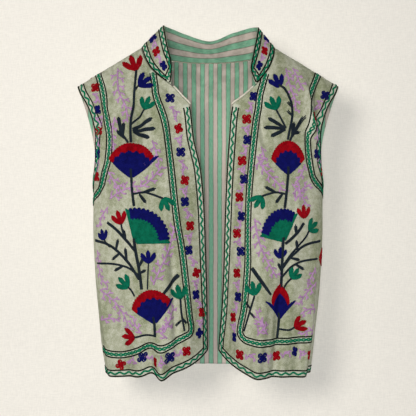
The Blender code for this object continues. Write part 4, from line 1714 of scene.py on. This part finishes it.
Panel = Front | Back | Collar
FRONT_CUT = {Side.LEFT: Cut((0.27, 0.60), 0.128), Side.RIGHT: Cut((0.27, 0.60), 0.118)}
BACK_CUT = Cut((0.50, 0.59), 0.245)
COLLAR_CUT = Cut((0.46, 0.054), 0.0247)


def dress(piece: bpy.types.Object, finishes: list[bpy.types.Material], node: str) -> None:
    """Gives a piece its finishes, and hides the CAD node that it stands for."""
    for finish in finishes:
        piece.data.materials.append(finish)
    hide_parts(node)


def hang_cloth(
    panel: Panel, patch: Patch, finishes: list[bpy.types.Material], lines: list[Array], cut: Cut
) -> None:
    """The outer cloth of a panel.

    Args:
        panel: the panel.
        patch: its outside.
        finishes: its material, and its inner face's own where it has one.
        lines: the flat centre lines of its braids.
        cut: what it is cut as; not used.
    """
    cloth = shell(f"cloth_{panel.name}", patch, 0.0, panel.wall, lined=len(finishes) > 1)
    dress(cloth, finishes, panel.name)
    braid_ground(cloth, patch, lines)


def hang_lining(panel: Panel, patch: Patch, finish: bpy.types.Material) -> None:
    """The lining of a panel, just inside its outer cloth.

    Args:
        panel: the panel.
        patch: its outside.
        finish: the lining's material.
    """
    lining = shell(f"lining_{panel.name}", patch, panel.wall + SEAM_GAP, LINING_WALL)
    dress(lining, [finish], f"{panel.name}_lining")


@dataclass
class Waistcoat:
    """The whole waistcoat: its panels and the needlework over them.

    Attributes:
        needle: what gathers the rows of stitches.
    """

    needle: Needlework = field(default_factory=Needlework)

    def build(self) -> None:
        """Builds every piece, dresses it and hides the CAD nodes that the pieces stand for."""
        fronts = {side: Front(side) for side in Side}
        patches = {side: front.patch() for side, front in fronts.items()}
        back, collar = Back(), Collar()
        back_patch = back.patch()
        collar_patch = collar.patch(patches, back_patch)
        sage = SageCloth().material()
        upright = StripedCotton().material(True, 1.5)
        around = StripedCotton(period=24.0).material(False, 6.2)
        for side, front in fronts.items():
            lines = self.work_front(front, patches[side])
            hang_cloth(front, patches[side], [sage, upright], lines, FRONT_CUT[side])
            piping = Piping().build(side, patches[side])
            dress(piping, [EcruPiping().material()], f"neck_piping_{side.name.lower()}")
        hang_cloth(back, back_patch, [sage], self.work_back(back, back_patch), BACK_CUT)
        hang_lining(back, back_patch, upright)
        hang_cloth(collar, collar_patch, [sage], self.work_collar(collar, collar_patch), COLLAR_CUT)
        hang_lining(collar, collar_patch, around)
        for silk, colour in SILKS.items():
            piece = self.needle.mesh(silk)
            piece.data.materials.append(SilkFinish(silk.value, colour).material())

    def braids(self, patch: Patch, outer: list[Array], inner: list[Array]) -> list[Array]:
        """Works plain braids on the outer lines and crossed ones on the inner. Returns all the lines."""
        for line in outer:
            PLAIN_BRAID.work(self.needle, patch, line)
        for line in inner:
            CROSSED_BRAID.work(self.needle, patch, line)
        return [*outer, *inner]

    def work_front(self, front: Front, patch: Patch) -> list[Array]:
        """The embroidery of a front. Returns the flat centre lines of its braids."""
        side, sign = front.side, front.side.value
        ways = {"front": sign, "armhole": -sign}
        edges = front.edges(patch)
        outer = [inset(edges[name], OUTER_BRAID_INSET, way) for name, way in ways.items()]
        seen = [np.array(table[side], float) * [sign, 1] for table in (INNER_BRAID, ARMHOLE_BRAID)]
        lines = self.braids(patch, outer, [rounded(patch.flat(line)) for line in seen])
        plant = LEFT_PLANT if side is Side.LEFT else RIGHT_PLANT
        plant.work(self.needle, patch, sign)
        for flowers, first in zip(BORDER_FLOWERS[side], FIRST_SILK[side]):
            table = np.array(flowers, float)
            table[:, :2] = patch.flat(table[:, :2] * [sign, 1])
            border(self.needle, patch, table, first)
        return lines

    def work_back(self, back: Back, patch: Patch) -> list[Array]:
        """The embroidery of the back: hem and armhole borders and two plants. Returns its braids' lines."""
        edges = back.edges(patch)
        ways = {"hem": 1, "left": 1, "right": -1}
        outer, inner, middle = (
            [inset(edges[name], distance, way) for name, way in ways.items()]
            for distance in (OUTER_BRAID_INSET, BACK_BRAID_INSET, BACK_BORDER_INSET)
        )
        lines = self.braids(patch, outer, inner)
        for line in middle:
            border(self.needle, patch, evenly(line, BACK_FLOWER_GAP), Silk.RED)
        LEFT_PLANT.work(self.needle, patch, 1, BACK_PLANT_SHIFT)
        RIGHT_PLANT.work(self.needle, patch, -1, BACK_PLANT_SHIFT)
        return lines

    def work_collar(self, collar: Collar, patch: Patch) -> list[Array]:
        """The embroidery of the collar: a braid all round and a row of flowers. Returns the braid's line."""
        line = inset(collar.edges(patch)["round"], OUTER_BRAID_INSET, 1)
        lines = self.braids(patch, [np.vstack([line, line[:1]])], [])
        half = float(patch.across[0, -1])
        middle = np.array([[-half + 8.0, COLLAR_HEIGHT / 2], [half - 8.0, COLLAR_HEIGHT / 2]])
        border(self.needle, patch, evenly(middle, COLLAR_FLOWER_GAP), Silk.BLUE)
        return lines


@dataclass(frozen=True)
class Lamp:
    """A round area lamp that points at the middle of the waistcoat.

    Attributes:
        name: its name.
        place: where it hangs, in metres.
        size: how wide it is, in metres.
        power: its power in watts.
        colour: the colour of its light.
    """

    name: str
    place: tuple[float, float, float]
    size: float
    power: float
    colour: tuple[float, float, float]

    def hang(self) -> None:
        """Puts the lamp in the scene."""
        data = bpy.data.lights.new(self.name, "AREA")
        data.shape, data.size, data.energy, data.color = "DISK", self.size, self.power, self.colour
        lamp = bpy.data.objects.new(self.name, data)
        bpy.context.scene.collection.objects.link(lamp)
        lamp.location = self.place
        aim = np.array([0.0, 0.0, -0.28]) - self.place
        lamp.rotation_euler = Vector(aim).to_track_quat("-Z", "Y").to_euler()


LAMPS = (
    Lamp("key", (-0.8, -1.95, 0.25), 0.8, 22.5, (1.0, 0.97, 0.92)),
    Lamp("front", (-0.02, -2.2, -0.36), 0.4, 32.5, (0.95, 0.97, 1.0)),
    Lamp("rear", (0.3, 2.2, 0.5), 1.6, 50.0, (1.0, 0.98, 0.95)),
    Lamp("side_left", (-1.9, 0.6, 0.1), 1.0, 20.0, (1.0, 0.98, 0.95)),
    Lamp("side_right", (1.9, 0.6, 0.1), 1.0, 20.0, (1.0, 0.98, 0.95)),
)


@dataclass(frozen=True)
class Studio:
    """A pale cove behind and below the waistcoat, soft light and the camera.

    Attributes:
        wall_y: where the wall stands, in metres.
        floor_z: how high the floor lies, in metres.
        bend: the radius of the quarter circle between them, in metres.
        paper: the cove's colour.
    """

    wall_y: float = 0.12
    floor_z: float = -0.95
    bend: float = 0.45
    paper: Colour = (0.84, 0.80, 0.725, 1.0)

    def cove(self) -> None:
        """The backdrop: a floor and a wall joined by a quarter circle, seen only from its own front."""
        angle = np.linspace(0, np.pi / 2, 24)
        centre = np.array([self.wall_y - self.bend, self.floor_z + self.bend])
        curve = centre + self.bend * np.column_stack([np.sin(angle), -np.cos(angle)])
        profile = np.vstack([[[-3.2, self.floor_z]], curve, [[self.wall_y, 2.2]]])
        x = np.array([-3.0, 3.0])
        grid = np.stack(np.broadcast_arrays(x[None], profile[:, :1], profile[:, 1:]), axis=2)
        number = np.arange(len(profile) * 2).reshape(-1, 2)
        faces = np.stack([number[:-1, 0], number[:-1, 1], number[1:, 1], number[1:, 0]], axis=1)
        mesh = bpy.data.meshes.new("cove")
        mesh.from_pydata(grid.reshape(-1, 3).tolist(), [], faces.tolist())
        mesh.shade_smooth()
        cove = bpy.data.objects.new("cove", mesh)
        bpy.context.scene.collection.objects.link(cove)
        shader = Shader("backdrop_paper")
        ways = ((90.0, 90.0, 900.0), (900.0, 90.0, 90.0))
        level, upright = (shader.noise(1.0, 2.0, shader.scaled(shader.place(), way)) for way in ways)
        threads = level + upright
        shade = tuple(c * 0.91 for c in self.paper[:3])
        linen = shader.blend(threads.step(0.7, 1.3), self.paper, (*shade, 1.0))
        shader.fill(shader.surface.inputs["Base Color"], linen)
        shader.surface.inputs["Roughness"].default_value = 0.95
        shader.surface.inputs["Specular IOR Level"].default_value = 0.1
        behind = shader.node("ShaderNodeNewGeometry", out="Backfacing")
        clear = shader.node("ShaderNodeBsdfTransparent")
        paper = Socket(shader, shader.surface.outputs[0])
        mixed = shader.node("ShaderNodeMixShader", None, {0: behind, 1: paper, 2: clear})
        shader.fill(shader.tree.nodes["Material Output"].inputs["Surface"], mixed)
        mesh.materials.append(shader.material)
        cove.visible_diffuse = cove.visible_glossy = cove.visible_shadow = False
        cove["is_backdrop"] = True

    def light(self) -> None:
        """A pale room and the lamps."""
        world = bpy.context.scene.world or bpy.data.worlds.new("room")
        bpy.context.scene.world = world
        world.use_nodes = True
        room = world.node_tree.nodes["Background"]
        room.inputs["Color"].default_value = (0.97, 0.98, 1.0, 1.0)
        room.inputs["Strength"].default_value = 0.15
        for lamp in LAMPS:
            lamp.hang()

    def camera(self) -> None:
        """A level camera square to the front."""
        data = bpy.data.cameras.new("camera")
        data.lens, data.sensor_width = 67.3, 36.0
        eye = bpy.data.objects.new("camera", data)
        bpy.context.scene.collection.objects.link(eye)
        eye.location = (0.0, -1.4, -0.288)
        eye.rotation_euler = (np.pi / 2, 0.0, 0.0)
        bpy.context.scene.camera = eye


def main() -> None:
    """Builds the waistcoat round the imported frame, and the studio."""
    logging.basicConfig(level=logging.INFO, format="%(message)s")
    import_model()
    frame_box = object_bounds()
    bpy.context.scene.view_settings.view_transform = "Standard"
    studio = Studio()
    studio.camera()
    Waistcoat().build()
    studio.cove()
    studio.light()
    boxes = {"cad": frame_box, "visual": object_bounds()}
    {k: [[float(x) for x in corner] for corner in box] for k, box in boxes.items()}


if __name__ == "__main__":
    main()
